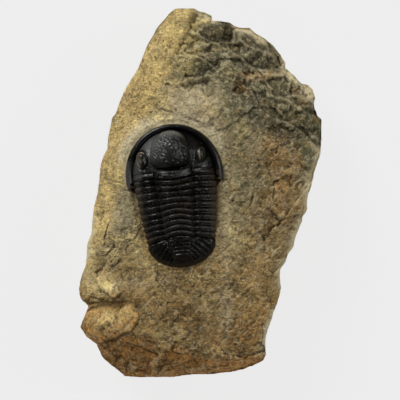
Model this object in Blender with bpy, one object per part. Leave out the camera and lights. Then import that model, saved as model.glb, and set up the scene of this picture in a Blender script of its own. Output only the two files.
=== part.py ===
"""A black trilobite lying on the loose block of limestone it was found in.

Lengths are in millimetres until a point is written into a mesh, in metres.
The block rests on its flat underside.  The head end of the block points to +Y.
The animal's own frame is (u, v, w): u across the body to its right, v along the
body towards the head, w up from the margin where the shell meets the limestone.
"""

import math

import bmesh
import bpy
from mathutils import Vector, noise

MM = 0.001

# ---- the block of limestone ------------------------------------------------------
FACE_HEIGHT = 16.0          # underside to the prepared face round the fossil
RELIEF_CELL = 0.75          # spacing of the points that carry the block's relief
BLOCK_TRIANGLES = 0.31      # share of the block's triangles kept by the decimation
EDGE_WEAR = 1.3             # how far the rim of the upper surface is worn down
EDGE_WEAR_REACH = 0.9

# Corners of the block seen from above, clockwise from the tip, side by side.
TIP = [(-2.7, 32.4), (-1.8, 32.4), (-0.7, 31.8), (0.7, 31.4), (1.8, 30.9), (2.0, 30.0)]
UPPER_RIGHT_EDGE = [
    (4.1, 29.9), (5.2, 29.7), (6.4, 29.0), (8.4, 28.9), (10.9, 27.1), (12.2, 26.1),
    (13.8, 24.3), (14.7, 22.7), (14.6, 21.9), (16.6, 20.0), (17.4, 19.2), (18.5, 19.0),
    (19.4, 18.2), (19.9, 16.6), (19.6, 15.6),
]
RIGHT_EDGE = [
    (19.7, 14.8), (20.3, 13.4), (21.1, 12.7), (21.3, 11.9), (20.9, 9.0), (20.6, 6.6),
    (19.5, 3.6), (19.1, 1.1), (18.7, -0.1), (18.6, -2.8), (17.8, -4.0), (17.7, -5.0),
    (16.5, -7.9), (16.3, -9.2), (15.2, -10.7), (13.9, -13.2), (13.8, -14.8), (14.0, -16.3),
    (13.9, -17.4), (12.9, -20.3), (11.5, -24.4), (11.3, -25.8), (11.3, -28.0),
]
BOTTOM_EDGE = [
    (10.6, -29.0), (9.0, -29.9), (6.8, -30.7), (4.9, -31.1), (1.2, -31.5), (-3.0, -31.7),
    (-7.2, -32.4), (-10.0, -32.1), (-13.4, -31.9), (-14.3, -31.1),
]
CORNER_BLOCK = [
    (-15.7, -29.9), (-17.4, -28.3), (-18.4, -26.4), (-20.0, -25.2), (-21.1, -23.4),
    (-20.4, -21.6), (-19.6, -19.7), (-19.9, -19.4),
]
LEFT_EDGE = [
    (-20.7, -18.7), (-21.2, -17.7), (-21.3, -16.7), (-20.7, -14.0), (-20.0, -11.1),
    (-20.0, -9.2), (-19.2, -7.2), (-18.8, -2.4), (-18.1, 0.6), (-17.7, 4.1), (-17.1, 6.5),
    (-16.5, 7.8), (-15.9, 11.8), (-15.6, 13.3), (-14.3, 16.2), (-12.4, 19.9),
    (-10.2, 23.9), (-8.2, 27.6), (-6.6, 29.9), (-4.4, 32.1),
]
OUTLINE = TIP + UPPER_RIGHT_EDGE + RIGHT_EDGE + BOTTOM_EDGE + CORNER_BLOCK + LEFT_EDGE

# Height of each level of the block's sides, and how far in from the outline it lies.
SIDE_LEVELS = [(-1.5, 1.7), (0.9, 1.25), (2.6, 0.8), (4.6, 0.45), (6.6, 0.12), (8.6, 0.0),
               (10.4, 0.0), (12.2, 0.05), (14.0, 0.1), (26.0, 0.2)]
SIDE_CHIPS = 1.15           # depth of the broken flats on the sides

# Broken and weathered faces that cut the block's upper surface down:
# a point on the upper edge, the downhill direction, the slope in degrees, the drop
# at the edge, and how softly the face rounds into the prepared one.
FACES = {
    "weathered_left_upper": ((-6.3, 19.0), (-0.904, 0.427), 37.0, 0.0, 1.2),
    "weathered_left_lower": ((-14.4, 0.6), (-0.955, 0.296), 44.0, 0.0, 1.2),
    "tip": ((-1.5, 26.5), (-0.25, 0.97), 30.0, 0.0, 1.0),
    "broken_upper_right": ((-3.2, 19.0), (0.575, 0.818), 17.0, 0.0, 0.5),
    "stained_right": ((9.6, 8.0), (0.975, 0.222), 19.0, 0.0, 1.0),
    "right_lower": ((9.0, -14.0), (0.95, -0.30), 20.0, 0.0, 1.0),
    "dark_lower_left": ((-9.0, -25.0), (-0.22, -0.975), 38.0, 0.2, 0.4),
    "bedded_foot": ((3.0, -28.3), (0.06, -0.998), 61.0, 0.0, 0.3),
    "foot_corner": ((9.6, -26.6), (0.62, -0.78), 30.0, 0.0, 0.5),
}

# Flats of the broken upper right and of the feet: corners in plan, how far the flat is sunk,
# and its extra slope across (to +X) and up (to +Y).
SLABS = {
    "tip_break": ([(-1.4, 31.6), (1.9, 31.0), (2.1, 29.9), (-0.6, 28.4), (-2.4, 29.6)],
                  0.25, (0.15, -0.25)),
    "upper_dark": ([(-1.5, 27.3), (0.3, 28.9), (1.9, 30.0), (4.0, 29.8), (6.0, 28.9), (5.4, 26.8),
                    (3.6, 26.6), (0.9, 26.4)], 0.3, (-0.3, 0.45)),
    "upper_band": ([(-3.4, 24.2), (-2.0, 26.0), (-0.7, 26.5), (3.7, 26.7), (6.5, 26.5),
                    (5.1, 25.0), (0.7, 24.7), (-0.9, 23.8)], 0.0, (0.1, -0.28)),
    "middle_dark": ([(-2.9, 23.0), (-0.4, 23.7), (1.6, 23.2), (4.2, 24.4), (3.8, 23.3),
                     (2.5, 21.9), (0.4, 20.4), (-3.0, 20.2)], 0.3, (-0.1, 0.42)),
    "corner_dark": ([(6.4, 28.5), (8.4, 28.7), (10.9, 27.0), (13.8, 24.2), (14.5, 22.6),
                     (12.1, 21.6), (8.6, 22.0), (7.3, 23.7), (6.3, 26.0)], 0.25, (-0.34, 0.2)),
    "grey_flat": ([(2.6, 23.0), (5.0, 23.8), (7.1, 23.2), (7.8, 21.3), (6.0, 19.9), (3.0, 19.9)],
                  0.1, (0.05, -0.16)),
    "orange_ledge": ([(7.3, 21.3), (10.7, 21.0), (14.2, 21.7), (14.6, 20.6), (10.7, 19.3),
                      (7.9, 19.7)], -0.1, (0.12, -0.45)),
    "pale_corner": ([(14.7, 21.9), (15.6, 21.0), (17.5, 19.1), (16.6, 17.8), (14.9, 18.8),
                     (14.2, 20.3)], -0.1, (0.3, -0.25)),
    "rust_hollow": ([(5.6, 19.9), (7.9, 19.4), (8.3, 17.7), (6.6, 16.9), (5.3, 18.1)],
                    0.35, (-0.4, 0.3)),
    "pale_face": ([(-6.1, 18.8), (-4.4, 19.4), (0.7, 19.2), (3.9, 18.8), (4.6, 16.3), (2.5, 13.2),
                   (0.7, 12.0), (-1.9, 13.2), (-6.1, 14.4)], -0.15, (0.06, -0.14)),
    "right_dark": ([(7.2, 17.2), (14.7, 18.4), (15.5, 16.2), (17.2, 13.8), (19.0, 10.0),
                    (15.6, 9.3), (10.7, 9.7), (7.4, 12.0)], 0.15, (-0.12, 0.14)),
    "right_lobe": ([(15.6, 18.8), (18.6, 18.8), (19.7, 16.7), (19.4, 14.6), (17.3, 14.8),
                    (15.6, 16.3)], -0.1, (0.18, -0.25)),
    "right_nose": ([(17.4, 14.2), (20.4, 13.0), (21.0, 9.3), (20.4, 5.8), (18.6, 7.4),
                    (17.9, 11.1)], 0.0, (0.16, -0.1)),
    "right_step": ([(12.6, 2.4), (16.0, 3.2), (18.3, 0.6), (17.6, -3.6), (14.6, -4.4),
                    (12.4, -1.4)], 0.0, (0.18, -0.12)),
    "right_hollow": ([(9.2, 0.8), (12.2, 1.8), (12.0, -2.2), (13.6, -5.2), (11.0, -8.0),
                      (8.4, -5.0)], 0.25, (-0.16, 0.14)),
    "corner_flat": ([(-20.6, -20.8), (-18.6, -19.4), (-12.2, -19.4), (-10.6, -21.8),
                     (-13.8, -24.6), (-17.0, -26.0), (-19.6, -24.8)], 0.0, (0.12, -0.1)),
    "corner_knob": ([(-21.2, -16.8), (-20.0, -12.6), (-16.8, -13.2), (-15.0, -16.2),
                     (-15.8, -18.0), (-19.8, -18.6)], -0.15, (0.06, 0.05)),
    "cream_edge": ([(-18.4, -13.9), (-17.0, -13.2), (-15.6, -15.2), (-13.6, -17.2), (-15.2, -18.0),
                    (-17.0, -16.4)], -0.35, (0.1, -0.5)),
    "foot_left": ([(-17.8, -26.4), (-14.2, -23.8), (-7.2, -25.0), (-3.6, -25.6), (-6.4, -29.0),
                   (-11.0, -31.6)], 0.2, (0.0, 0.0)),
    "foot_right": ([(4.2, -21.6), (10.8, -22.4), (11.0, -28.0), (6.0, -28.6), (4.0, -27.0)],
                   0.15, (-0.1, 0.12)),
    "pale_band": ([(5.4, -15.0), (6.8, -16.0), (3.4, -22.8), (-1.6, -28.0), (-4.6, -27.4),
                   (0.6, -22.0)], -0.1, (-0.1, 0.02)),
    "grey_smudge": ([(-12.8, -13.8), (-8.4, -14.2), (-7.6, -17.6), (-10.6, -20.0), (-13.2, -18.4)],
                    0.1, (-0.06, 0.06)),
    "tail_lump": ([(-5.0, -12.6), (1.6, -12.4), (3.0, -15.0), (-1.0, -18.2), (-5.4, -17.0)],
                  0.1, (0.05, -0.06)),
    "left_slab": ([(-16.6, -4.2), (-14.2, -3.2), (-12.2, -5.2), (-12.9, -9.2), (-15.4, -12.0),
                   (-17.4, -10.8)], 0.15, (-0.12, 0.1)),
}

# ---- the trilobite's place and lean ----------------------------------------------
ANIMAL_PLACE = (-4.55, 3.2)
ANIMAL_TURN = math.radians(6.0)
ANIMAL_LEAN = 0.10          # sideways shift of a point for each millimetre of height
SEAT = -0.9                 # underside of the plates, below the margin
POCKET_FLOOR = -1.2
CLEARANCE = 0.3             # between a plate and the wall of its pocket
SEAM = 0.22                 # open seam between neighbouring plates

# ---- head shield -------------------------------------------------------------------
HEAD_HALF_WIDTH = 8.45
HEAD_REACH = 8.8
GENAL_ANGLE = math.radians(12.0)    # how far the rim runs on behind its widest point
HEAD_COLUMNS = 50
BORDER_FRONT = 0.95
BORDER_SIDE = 1.4
BORDER_TOP = 1.3
BORDER_FURROW = 0.65
CHEEK_RISE = 2.1
GLABELLA_CENTRE = 4.25
GLABELLA_HALF_LENGTH = 3.5
GLABELLA_HALF_WIDTH = 3.5
GLABELLA_TOP = 5.0
EYE_OFFSET = 5.1
EYE_STATION = 3.1
EYE_HALF_LENGTH = 1.6
EYE_HALF_WIDTH = 1.05
EYE_TOP = 3.75

# ---- thorax --------------------------------------------------------------------------
SEGMENTS = 10
SEGMENT_COLUMNS = 20
THORAX_FRONT = -0.91
SEGMENT_PITCH = 0.957
AXIS_HALF_WIDTH_FRONT = 3.4
AXIS_HALF_WIDTH_REAR = 2.4
THORAX_HALF_WIDTH_FRONT = 7.3
THORAX_HALF_WIDTH_REAR = 6.05
AXIS_TOP_FRONT = 4.35
AXIS_TOP_REAR = 3.5
PLEURA_TOP_FRONT = 2.75
PLEURA_TOP_REAR = 2.3
RING_RELIEF = 0.42

# ---- tail shield -----------------------------------------------------------------------
TAIL_HALF_WIDTH = 6.0
TAIL_CENTRE = -11.8
TAIL_REACH = 4.35
TAIL_AXIS_LENGTH = 4.0

BLACK_SHELL = (0.012, 0.012, 0.011)
LIMESTONE = (0.27, 0.21, 0.12)


# ---- small helpers -----------------------------------------------------------------------

def clamp01(value):
    return max(0.0, min(1.0, value))


def smooth_step(value):
    t = clamp01(value)
    return t * t * (3.0 - 2.0 * t)


def mix(a, b, share):
    return a + (b - a) * share


def soft_min(a, b, radius):
    """The lower of two heights, rounded over the given radius."""
    if radius <= 0.0:
        return min(a, b)
    h = max(radius - abs(a - b), 0.0) / radius
    return min(a, b) - h * h * radius * 0.25


def soft_max(a, b, radius):
    return -soft_min(-a, -b, radius)


def bell(value, width):
    return math.exp(-(value / width) ** 2)


def new_object(name, bm, material, smooth_angle=None):
    bmesh.ops.recalc_face_normals(bm, faces=bm.faces)
    mesh = bpy.data.meshes.new(name)
    bm.to_mesh(mesh)
    bm.free()
    if smooth_angle is not None:
        mesh.shade_smooth()
        mesh.set_sharp_from_angle(angle=math.radians(smooth_angle))
    obj = bpy.data.objects.new(name, mesh)
    bpy.context.scene.collection.objects.link(obj)
    if material is not None:
        mesh.materials.append(material)
    return obj


def new_material(name, colour, roughness):
    material = bpy.data.materials.new(name)
    material.use_nodes = True
    shader = material.node_tree.nodes["Principled BSDF"]
    shader.inputs["Base Color"].default_value = (*colour, 1.0)
    shader.inputs["Roughness"].default_value = roughness
    shader.inputs["Metallic"].default_value = 0.0
    return material


def hide_cutter(obj):
    obj.hide_render = True
    obj.display_type = "WIRE"


# ---- the animal's outline ------------------------------------------------------------------

def to_block(u, v, w):
    """A point of the animal, leaned, turned and set down on the block."""
    u = u - ANIMAL_LEAN * max(w, 0.0)
    c = math.cos(ANIMAL_TURN)
    s = math.sin(ANIMAL_TURN)
    x = ANIMAL_PLACE[0] + u * c - v * s
    y = ANIMAL_PLACE[1] + u * s + v * c
    return Vector((x, y, FACE_HEIGHT + w)) * MM


def to_animal(x, y):
    c = math.cos(ANIMAL_TURN)
    s = math.sin(ANIMAL_TURN)
    dx = x - ANIMAL_PLACE[0]
    dy = y - ANIMAL_PLACE[1]
    return dx * c + dy * s, dy * c - dx * s


def along_thorax(v):
    """0 at the front of the thorax, 1 at its rear."""
    return clamp01((THORAX_FRONT - v) / (SEGMENTS * SEGMENT_PITCH))


def axis_half_width(v):
    t = along_thorax(v)
    return mix(AXIS_HALF_WIDTH_FRONT, AXIS_HALF_WIDTH_REAR, t ** 0.8)


def thorax_half_width(v):
    return mix(THORAX_HALF_WIDTH_FRONT, THORAX_HALF_WIDTH_REAR, along_thorax(v) ** 1.3)


def seam_line(index, u):
    """Where the seam behind plate number index lies at u; 0 is behind the head."""
    base = THORAX_FRONT - index * SEGMENT_PITCH
    half = axis_half_width(base)
    width = thorax_half_width(base)
    across = abs(u) / half
    bow = mix(-0.5, 0.58, smooth_step(index / 6.0))
    arch = bow * min(across, 1.0) ** 1.7
    beyond = clamp01((abs(u) - half) / (width - half))
    sweep = mix(0.25, 0.8, smooth_step((index - 3.0) / 7.0))
    return base - arch - sweep * beyond ** 2


def animal_outline(margin):
    """The whole animal seen from above, widened by margin, anticlockwise."""
    points = []
    for step in range(41):
        angle = mix(-GENAL_ANGLE, math.pi + GENAL_ANGLE, step / 40)
        points.append(((HEAD_HALF_WIDTH + margin) * math.cos(angle),
                       (HEAD_REACH + margin) * math.sin(angle) - (margin if step in (0, 40) else 0.0)))
    flank = THORAX_HALF_WIDTH_FRONT + margin
    genal_rear = -HEAD_REACH * math.sin(GENAL_ANGLE) - margin
    left = [(-flank - 0.8, genal_rear)]
    for step in range(9):
        v = mix(genal_rear, TAIL_CENTRE, step / 8)
        left.append((-(thorax_half_width(v) + margin), v))
    points += left
    for step in range(1, 24):
        angle = math.pi * step / 24
        points.append((-(TAIL_HALF_WIDTH + margin) * math.cos(angle),
                       TAIL_CENTRE - (TAIL_REACH + margin) * math.sin(angle)))
    points += [(-u, v) for u, v in reversed(left)]
    return points


def distance_outside(u, v):
    """Rough distance from a point to the animal's outline, 0 on the animal."""
    if v > -1.5:
        ring = math.hypot(u / HEAD_HALF_WIDTH, max(v, 0.0) / HEAD_REACH)
        return max(0.0, (ring - 1.0) * HEAD_HALF_WIDTH)
    if v > TAIL_CENTRE:
        return max(0.0, abs(u) - thorax_half_width(v))
    ring = math.hypot(u / TAIL_HALF_WIDTH, (v - TAIL_CENTRE) / TAIL_REACH)
    return max(0.0, (ring - 1.0) * 0.5 * (TAIL_HALF_WIDTH + TAIL_REACH))


# ---- the block's relief ----------------------------------------------------------------------

def chipped(x, y, size, seed):
    """Height of rough chips: small tilted flats that meet in narrow breaks."""
    column = math.floor(x / size)
    row = math.floor(y / size)
    total = 0.0
    weights = 0.0
    for i in range(column - 1, column + 2):
        for j in range(row - 1, row + 2):
            pick = noise.cell_vector(Vector((i + 0.5, j + 0.5, seed)))
            dx = x - (i + 0.5 + 0.42 * pick.x) * size
            dy = y - (j + 0.5 + 0.42 * pick.y) * size
            tilt = noise.cell_vector(Vector((i + 0.5, j + 0.5, seed + 7.0)))
            weight = math.exp(-11.0 * (dx * dx + dy * dy) / size ** 2) + 1e-12
            total += weight * (dx * tilt.x + dy * tilt.y + 0.5 * size * tilt.z)
            weights += weight
    return total / weights / size


def face_drop(x, y, name):
    """Distance past the upper edge of one of the block's cut faces."""
    (px, py), (dx, dy) = FACES[name][:2]
    return (x - px) * dx + (y - py) * dy


def prepared_face(x, y):
    """The nearly flat face round the fossil."""
    wave = noise.noise(Vector((x * 0.09, y * 0.09, 3.1)))
    fine = noise.noise(Vector((x * 0.35, y * 0.35, 8.7)))
    return FACE_HEIGHT - 0.02 * x + 0.45 * wave + 0.16 * fine


def step_line(x, y):
    """Broken ledges that go down to the upper right, in three steps."""
    reach = face_drop(x, y, "broken_upper_right")
    wobble = 1.2 * noise.noise(Vector((x * 0.22, y * 0.22, 5.5)))
    drop = 0.0
    for crest, depth in ((0.4, 0.55), (5.0, 0.75), (8.8, 0.8), (13.0, 0.6)):
        drop += depth * smooth_step((reach + wobble - crest) / 0.7)
    return drop


def segment_gap(x, y, a, b):
    """Distance from a point to the line from a to b."""
    ax, ay = a
    bx, by = b
    length = (bx - ax) ** 2 + (by - ay) ** 2
    t = clamp01(((x - ax) * (bx - ax) + (y - ay) * (by - ay)) / length)
    return math.hypot(x - ax - t * (bx - ax), y - ay - t * (by - ay))


def outline_gap(x, y):
    """Distance to the nearest side of the block's outline."""
    count = len(OUTLINE)
    return min(segment_gap(x, y, OUTLINE[i], OUTLINE[(i + 1) % count]) for i in range(count))


def polygon_gap(x, y, corners):
    """Distance to the edge of a flat shape with straight sides, negative inside."""
    inside = False
    gap = 1.0e9
    for (ax, ay), (bx, by) in zip(corners, corners[1:] + corners[:1]):
        if (ay > y) != (by > y) and x < ax + (y - ay) * (bx - ax) / (by - ay):
            inside = not inside
        gap = min(gap, segment_gap(x, y, (ax, ay), (bx, by)))
    return -gap if inside else gap


def block_height(x, y):
    """Height of the block's upper surface over a point of its plan."""
    height = prepared_face(x, y)
    for name, (_edge, _downhill, slope, drop, soft) in FACES.items():
        reach = face_drop(x, y, name)
        face = FACE_HEIGHT - drop * smooth_step(reach / 0.6) - math.tan(math.radians(slope)) * reach
        face += 0.5 * noise.noise(Vector((x * 0.14, y * 0.14, 11.0 + slope)))
        height = soft_min(height, face, soft * 2.0)

    broken = smooth_step((face_drop(x, y, "broken_upper_right") + 0.5) / 3.0)
    broken *= smooth_step((16.0 - face_drop(x, y, "weathered_left_upper") * 6.0 - 8.0) / 8.0)
    height -= step_line(x, y) * broken
    height += (0.5 * chipped(x, y, 4.6, 1.0) + 0.25 * chipped(x, y, 2.3, 2.0)) * broken

    right = smooth_step((face_drop(x, y, "stained_right") + 2.0) / 5.0) * (1.0 - broken)
    height += (0.35 * chipped(x, y, 5.0, 3.0) + 0.22 * chipped(x, y, 2.4, 4.0)) * right

    foot = smooth_step((face_drop(x, y, "dark_lower_left") + 0.5) / 2.0)
    height += (0.4 * chipped(x, y, 4.0, 5.0) + 0.22 * chipped(x, y, 2.0, 6.0)) * foot

    for corners, sink, (across, up) in SLABS.values():
        middle_x = sum(corner[0] for corner in corners) / len(corners)
        middle_y = sum(corner[1] for corner in corners) / len(corners)
        inside = smooth_step(0.5 - polygon_gap(x, y, corners) / 0.8)
        height += inside * (across * (x - middle_x) + up * (y - middle_y) - sink)

    # The tan block at the lower left corner sits a step lower, behind a crevice.
    corner = smooth_step((-18.3 - y + 0.06 * (x + 14.0)) / 0.5) * smooth_step((-11.5 - x) / 3.0)
    height -= 1.3 * corner
    crevice = bell(segment_gap(x, y, (-19.8, -18.4), (-14.2, -18.5)), 0.7)
    height -= 1.1 * crevice

    # A long dark crack and two slits run down the weathered left side.
    for start, middle, end in (((-10.9, -6.9), (-12.9, -9.9), (-15.0, -12.6)),
                               ((-16.3, -6.1), (-16.6, -7.5), (-17.0, -8.9)),
                               ((-15.2, -9.4), (-16.0, -10.4), (-17.0, -11.3))):
        gap = min(segment_gap(x, y, start, middle), segment_gap(x, y, middle, end))
        height -= 0.45 * bell(gap, 0.6)

    # Pits.
    for px, py, radius, depth in ((5.5, -1.3, 0.7, 0.7), (-14.6, -21.6, 0.8, 0.7), (-15.9, -22.8, 0.8, 0.6),
                                  (6.6, 13.0, 0.9, 0.8)):
        height -= depth * bell(math.hypot(x - px, y - py), radius)

    # A firm collar of limestone carries the margin of the shell.
    u, v = to_animal(x, y)
    outside = distance_outside(u, v)
    collar = FACE_HEIGHT - 0.75 * max(0.0, outside - 0.8)
    height = soft_max(height, collar, 0.5)
    near = smooth_step(1.0 - (outside - 0.4) / 1.6)
    height = mix(height, FACE_HEIGHT + 0.05, near)

    return height - EDGE_WEAR * math.exp(-outline_gap(x, y) / EDGE_WEAR_REACH)


def make_relief_block():
    """A slab whose upper side is the block's relief, wider than the block itself."""
    columns = round(46.0 / RELIEF_CELL)
    rows = round(68.0 / RELIEF_CELL)
    bm = bmesh.new()
    bmesh.ops.create_grid(bm, x_segments=columns, y_segments=rows, size=1.0)
    for vert in bm.verts:
        x = vert.co.x * 23.0
        y = vert.co.y * 34.0
        shift = noise.cell_vector(Vector((x / RELIEF_CELL + 0.25, y / RELIEF_CELL + 0.25, 4.5)))
        x += 0.3 * RELIEF_CELL * shift.x
        y += 0.3 * RELIEF_CELL * shift.y
        vert.co = Vector((x, y, block_height(x, y))) * MM
    close_below(bm, -3.0 * MM)
    return bm


def close_below(bm, level):
    """Carry the open edge of a surface down to a flat underside."""
    rim = [edge for edge in bm.edges if edge.is_boundary]
    grown = bmesh.ops.extrude_edge_only(bm, edges=rim)["geom"]
    lower = [item for item in grown if isinstance(item, bmesh.types.BMVert)]
    for vert in lower:
        vert.co.z = level
    bottom = [edge for edge in bm.edges if edge.is_boundary]
    bmesh.ops.edgeloop_fill(bm, edges=bottom)


def make_outline_cutter():
    """The block's sides: the outline at several levels, broken into flats and capped."""
    bm = bmesh.new()
    count = len(OUTLINE)
    lengths = [0.0]
    for i in range(1, count):
        lengths.append(lengths[-1] + math.dist(OUTLINE[i - 1], OUTLINE[i]))
    rings = []
    for level, inset in SIDE_LEVELS:
        ring = []
        for i, (x, y) in enumerate(OUTLINE):
            inward = (Vector((-1.5, max(-16.0, min(14.0, y * 0.8)))) - Vector((x, y))).normalized()
            low = smooth_step((9.0 - level) / 9.0)
            chip = 0.5 + chipped(lengths[i], level * 1.4, 7.5, 21.0)
            depth = inset * (1.0 + 0.7 * noise.noise(Vector((x * 0.06, y * 0.06, 2.2))))
            depth += SIDE_CHIPS * (0.12 + 0.88 * low) * clamp01(chip)
            ring.append(bm.verts.new(Vector((x + inward.x * depth, y + inward.y * depth, level)) * MM))
        rings.append(ring)
    for lower, upper in zip(rings, rings[1:]):
        for i in range(count):
            j = (i + 1) % count
            bm.faces.new((lower[j], lower[i], upper[i], upper[j]))
    bm.faces.new(rings[0])
    bm.faces.new(list(reversed(rings[-1])))
    bmesh.ops.triangulate(bm, faces=bm.faces)
    return bm


def make_floor_cutter():
    bm = bmesh.new()
    bmesh.ops.create_cube(bm, size=1.0)
    for vert in bm.verts:
        vert.co = Vector((vert.co.x * 60.0, vert.co.y * 80.0, (vert.co.z - 0.5) * 6.0)) * MM
    return bm


def make_pocket_cutter():
    """The shallow pocket that the plates sit in."""
    bm = bmesh.new()
    ring = []
    for u, v in animal_outline(CLEARANCE):
        spot = to_block(u, v, POCKET_FLOOR)
        ring.append(bm.verts.new(spot))
    floor = bm.faces.new(ring)
    grown = bmesh.ops.extrude_face_region(bm, geom=[floor])["geom"]
    top = [item for item in grown if isinstance(item, bmesh.types.BMVert)]
    bmesh.ops.translate(bm, verts=top, vec=(0.0, 0.0, 8.0 * MM))
    bmesh.ops.triangulate(bm, faces=bm.faces)
    return bm


def add_boolean(obj, cutter, operation):
    cut = obj.modifiers.new(cutter.name, "BOOLEAN")
    cut.operation = operation
    cut.object = cutter
    cut.solver = "EXACT"


def make_matrix_rock(material):
    rock = new_object("matrix_rock", make_relief_block(), material)
    sides = new_object("rock_sides_cutter", make_outline_cutter(), None)
    floor = new_object("rock_floor_cutter", make_floor_cutter(), None)
    pocket = new_object("fossil_pocket_cutter", make_pocket_cutter(), None)
    for cutter in (sides, floor, pocket):
        hide_cutter(cutter)
    add_boolean(rock, sides, "INTERSECT")
    thin = rock.modifiers.new("fewer_triangles", "DECIMATE")
    thin.ratio = BLOCK_TRIANGLES
    add_boolean(rock, floor, "DIFFERENCE")
    add_boolean(rock, pocket, "DIFFERENCE")
    return rock


# ---- the plates of the shell -------------------------------------------------------------------

def head_rear(u):
    """Rear edge of the head shield: along the first seam, then back to the genal angle."""
    edge = THORAX_HALF_WIDTH_FRONT
    seam = seam_line(0, min(abs(u), edge)) + SEAM * 0.5
    tip = -HEAD_REACH * math.sin(GENAL_ANGLE)
    return mix(seam, tip, clamp01((abs(u) - edge - 0.32) / 0.4))


def head_inward(u, v):
    """Distance in from the rim of the head shield."""
    return (1.0 - math.hypot(u / HEAD_HALF_WIDTH, v / HEAD_REACH)) * HEAD_HALF_WIDTH


def head_border(u):
    return mix(BORDER_FRONT, BORDER_SIDE, min(abs(u) / HEAD_HALF_WIDTH, 1.0) ** 2)


def head_height(u, v):
    """Height of the head shield above its margin."""
    inward = head_inward(u, v)
    border = head_border(u)
    from_rear = v - head_rear(u)

    # The convex border, then the narrow furrow inside it.
    if inward < border:
        across = (inward - 0.5 * border) / (0.5 * border)
        return 0.35 + (BORDER_TOP - 0.35) * math.sqrt(max(0.0, 1.0 - abs(across) ** 2.6))
    beyond = (inward - border) / 2.9
    height = BORDER_FURROW + CHEEK_RISE * (1.0 - (1.0 - clamp01(beyond)) ** 2)

    # The ridge and furrow along the rear of each cheek.
    if abs(u) > 3.0:
        height -= 0.35 * bell(from_rear - 0.95, 0.28) * smooth_step((abs(u) - 3.2) / 0.8)
        height -= 0.25 * bell(from_rear, 0.25)

    # The eyes.
    du = (abs(u) - EYE_OFFSET) / EYE_HALF_WIDTH
    dv = (v - EYE_STATION - 0.12 * (abs(u) - EYE_OFFSET)) / EYE_HALF_LENGTH
    eye = 1.0 - (du * du + dv * dv)
    if eye > 0.0:
        height = max(height, mix(height, EYE_TOP, eye ** 0.45))

    # The swollen glabella between its furrows.
    half = GLABELLA_HALF_WIDTH * (1.0 - 0.05 * (v - GLABELLA_CENTRE))
    station = (v - GLABELLA_CENTRE) / GLABELLA_HALF_LENGTH
    dome = 1.0 - (u / half) ** 2 - abs(station) ** (2.8 if station > 0.0 else 3.6)
    height -= 0.5 * bell(math.hypot(u / half, station) - 1.04, 0.1)
    if dome > 0.0:
        slope = 0.10 * (GLABELLA_CENTRE - 1.2 - v)
        height = max(height, 1.4 + (GLABELLA_TOP - 1.4 + slope * 0.6) * dome ** 0.5)

    # The occipital ring behind it.
    half = AXIS_HALF_WIDTH_FRONT
    if abs(u) < half and from_rear < 1.75:
        arch = 2.2 + (AXIS_TOP_FRONT - 2.2) * math.sqrt(1.0 - (u / half) ** 2)
        swell = 1.0 - 0.45 * (abs(from_rear - 0.8) / 0.8) ** 3
        if from_rear < 1.6:
            height = max(min(height, arch), arch - (1.0 - swell))
        height = max(height, arch - 1.2) - 0.35 * bell(from_rear - 1.72, 0.22)
    return height


def thorax_section(u, v):
    """Height of the thorax across the body, without its rings."""
    t = along_thorax(v)
    half = axis_half_width(v)
    width = thorax_half_width(v)
    axis_top = mix(AXIS_TOP_FRONT, AXIS_TOP_REAR, t)
    pleura_top = mix(PLEURA_TOP_FRONT, PLEURA_TOP_REAR, t)
    if abs(u) < half:
        arch = math.sqrt(max(0.0, 1.0 - (abs(u) / half) ** 2.2))
        return pleura_top - 0.35 + (axis_top - pleura_top + 0.35) * arch
    across = (abs(u) - half) / (width - half)
    fall = (1.0 - clamp01(across) ** 2.6) ** 0.7
    rise = -0.35 * bell(across, 0.14)
    return mix(-0.25, pleura_top, fall) + rise


def ray_point(inner, tip, rim, reach):
    """A point on a ray from the rear line of a shield out to its rim."""
    start_u = inner * rim[0] / tip[0]
    start_v = tip[1] * abs(start_u) / tip[0]
    return mix(start_u, rim[0], reach), mix(start_v, rim[1], reach)


def border_share(inner, tip, rim):
    """How far out along a ray of the head shield the border furrow lies."""
    low = 0.0
    high = 1.0
    for _step in range(14):
        middle = 0.5 * (low + high)
        u, v = ray_point(inner, tip, rim, middle)
        if head_inward(u, v) > head_border(u):
            low = middle
        else:
            high = middle
    return low


def make_head(material):
    inner = 5.4
    inside = [0.0, 0.09, 0.18, 0.27, 0.36, 0.46, 0.56, 0.66, 0.76, 0.86, 0.94]
    border = [0.0, 0.1, 0.28, 0.5, 0.75, 0.93, 1.0]
    rows = len(inside) + len(border) - 1
    tip = (HEAD_HALF_WIDTH * math.cos(GENAL_ANGLE), -HEAD_REACH * math.sin(GENAL_ANGLE))
    bm = bmesh.new()
    bmesh.ops.create_grid(bm, x_segments=HEAD_COLUMNS, y_segments=rows, size=0.5)
    for vert in bm.verts:
        angle = mix(-GENAL_ANGLE, math.pi + GENAL_ANGLE, vert.co.x + 0.5)
        row = round((vert.co.y + 0.5) * rows)
        rim = (HEAD_HALF_WIDTH * math.cos(angle), HEAD_REACH * math.sin(angle))
        furrow = border_share(inner, tip, rim)
        if row < len(inside):
            reach = inside[row] * furrow
        else:
            reach = mix(furrow, 1.0, border[row - len(inside)])
        u, v = ray_point(inner, tip, rim, reach)
        straight = tip[1] * min(abs(u) / tip[0], 1.0)
        lift = head_rear(u) - straight
        v += lift * math.exp(-max(0.0, v - straight) / 2.0) * (1.0 - reach ** 8)
        height = 0.2 if row == rows else head_height(u, v)
        vert.co = to_block(u, v, height)
    close_below(bm, (FACE_HEIGHT + SEAT) * MM)
    return new_object("cephalon", bm, material, 50.0)


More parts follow.
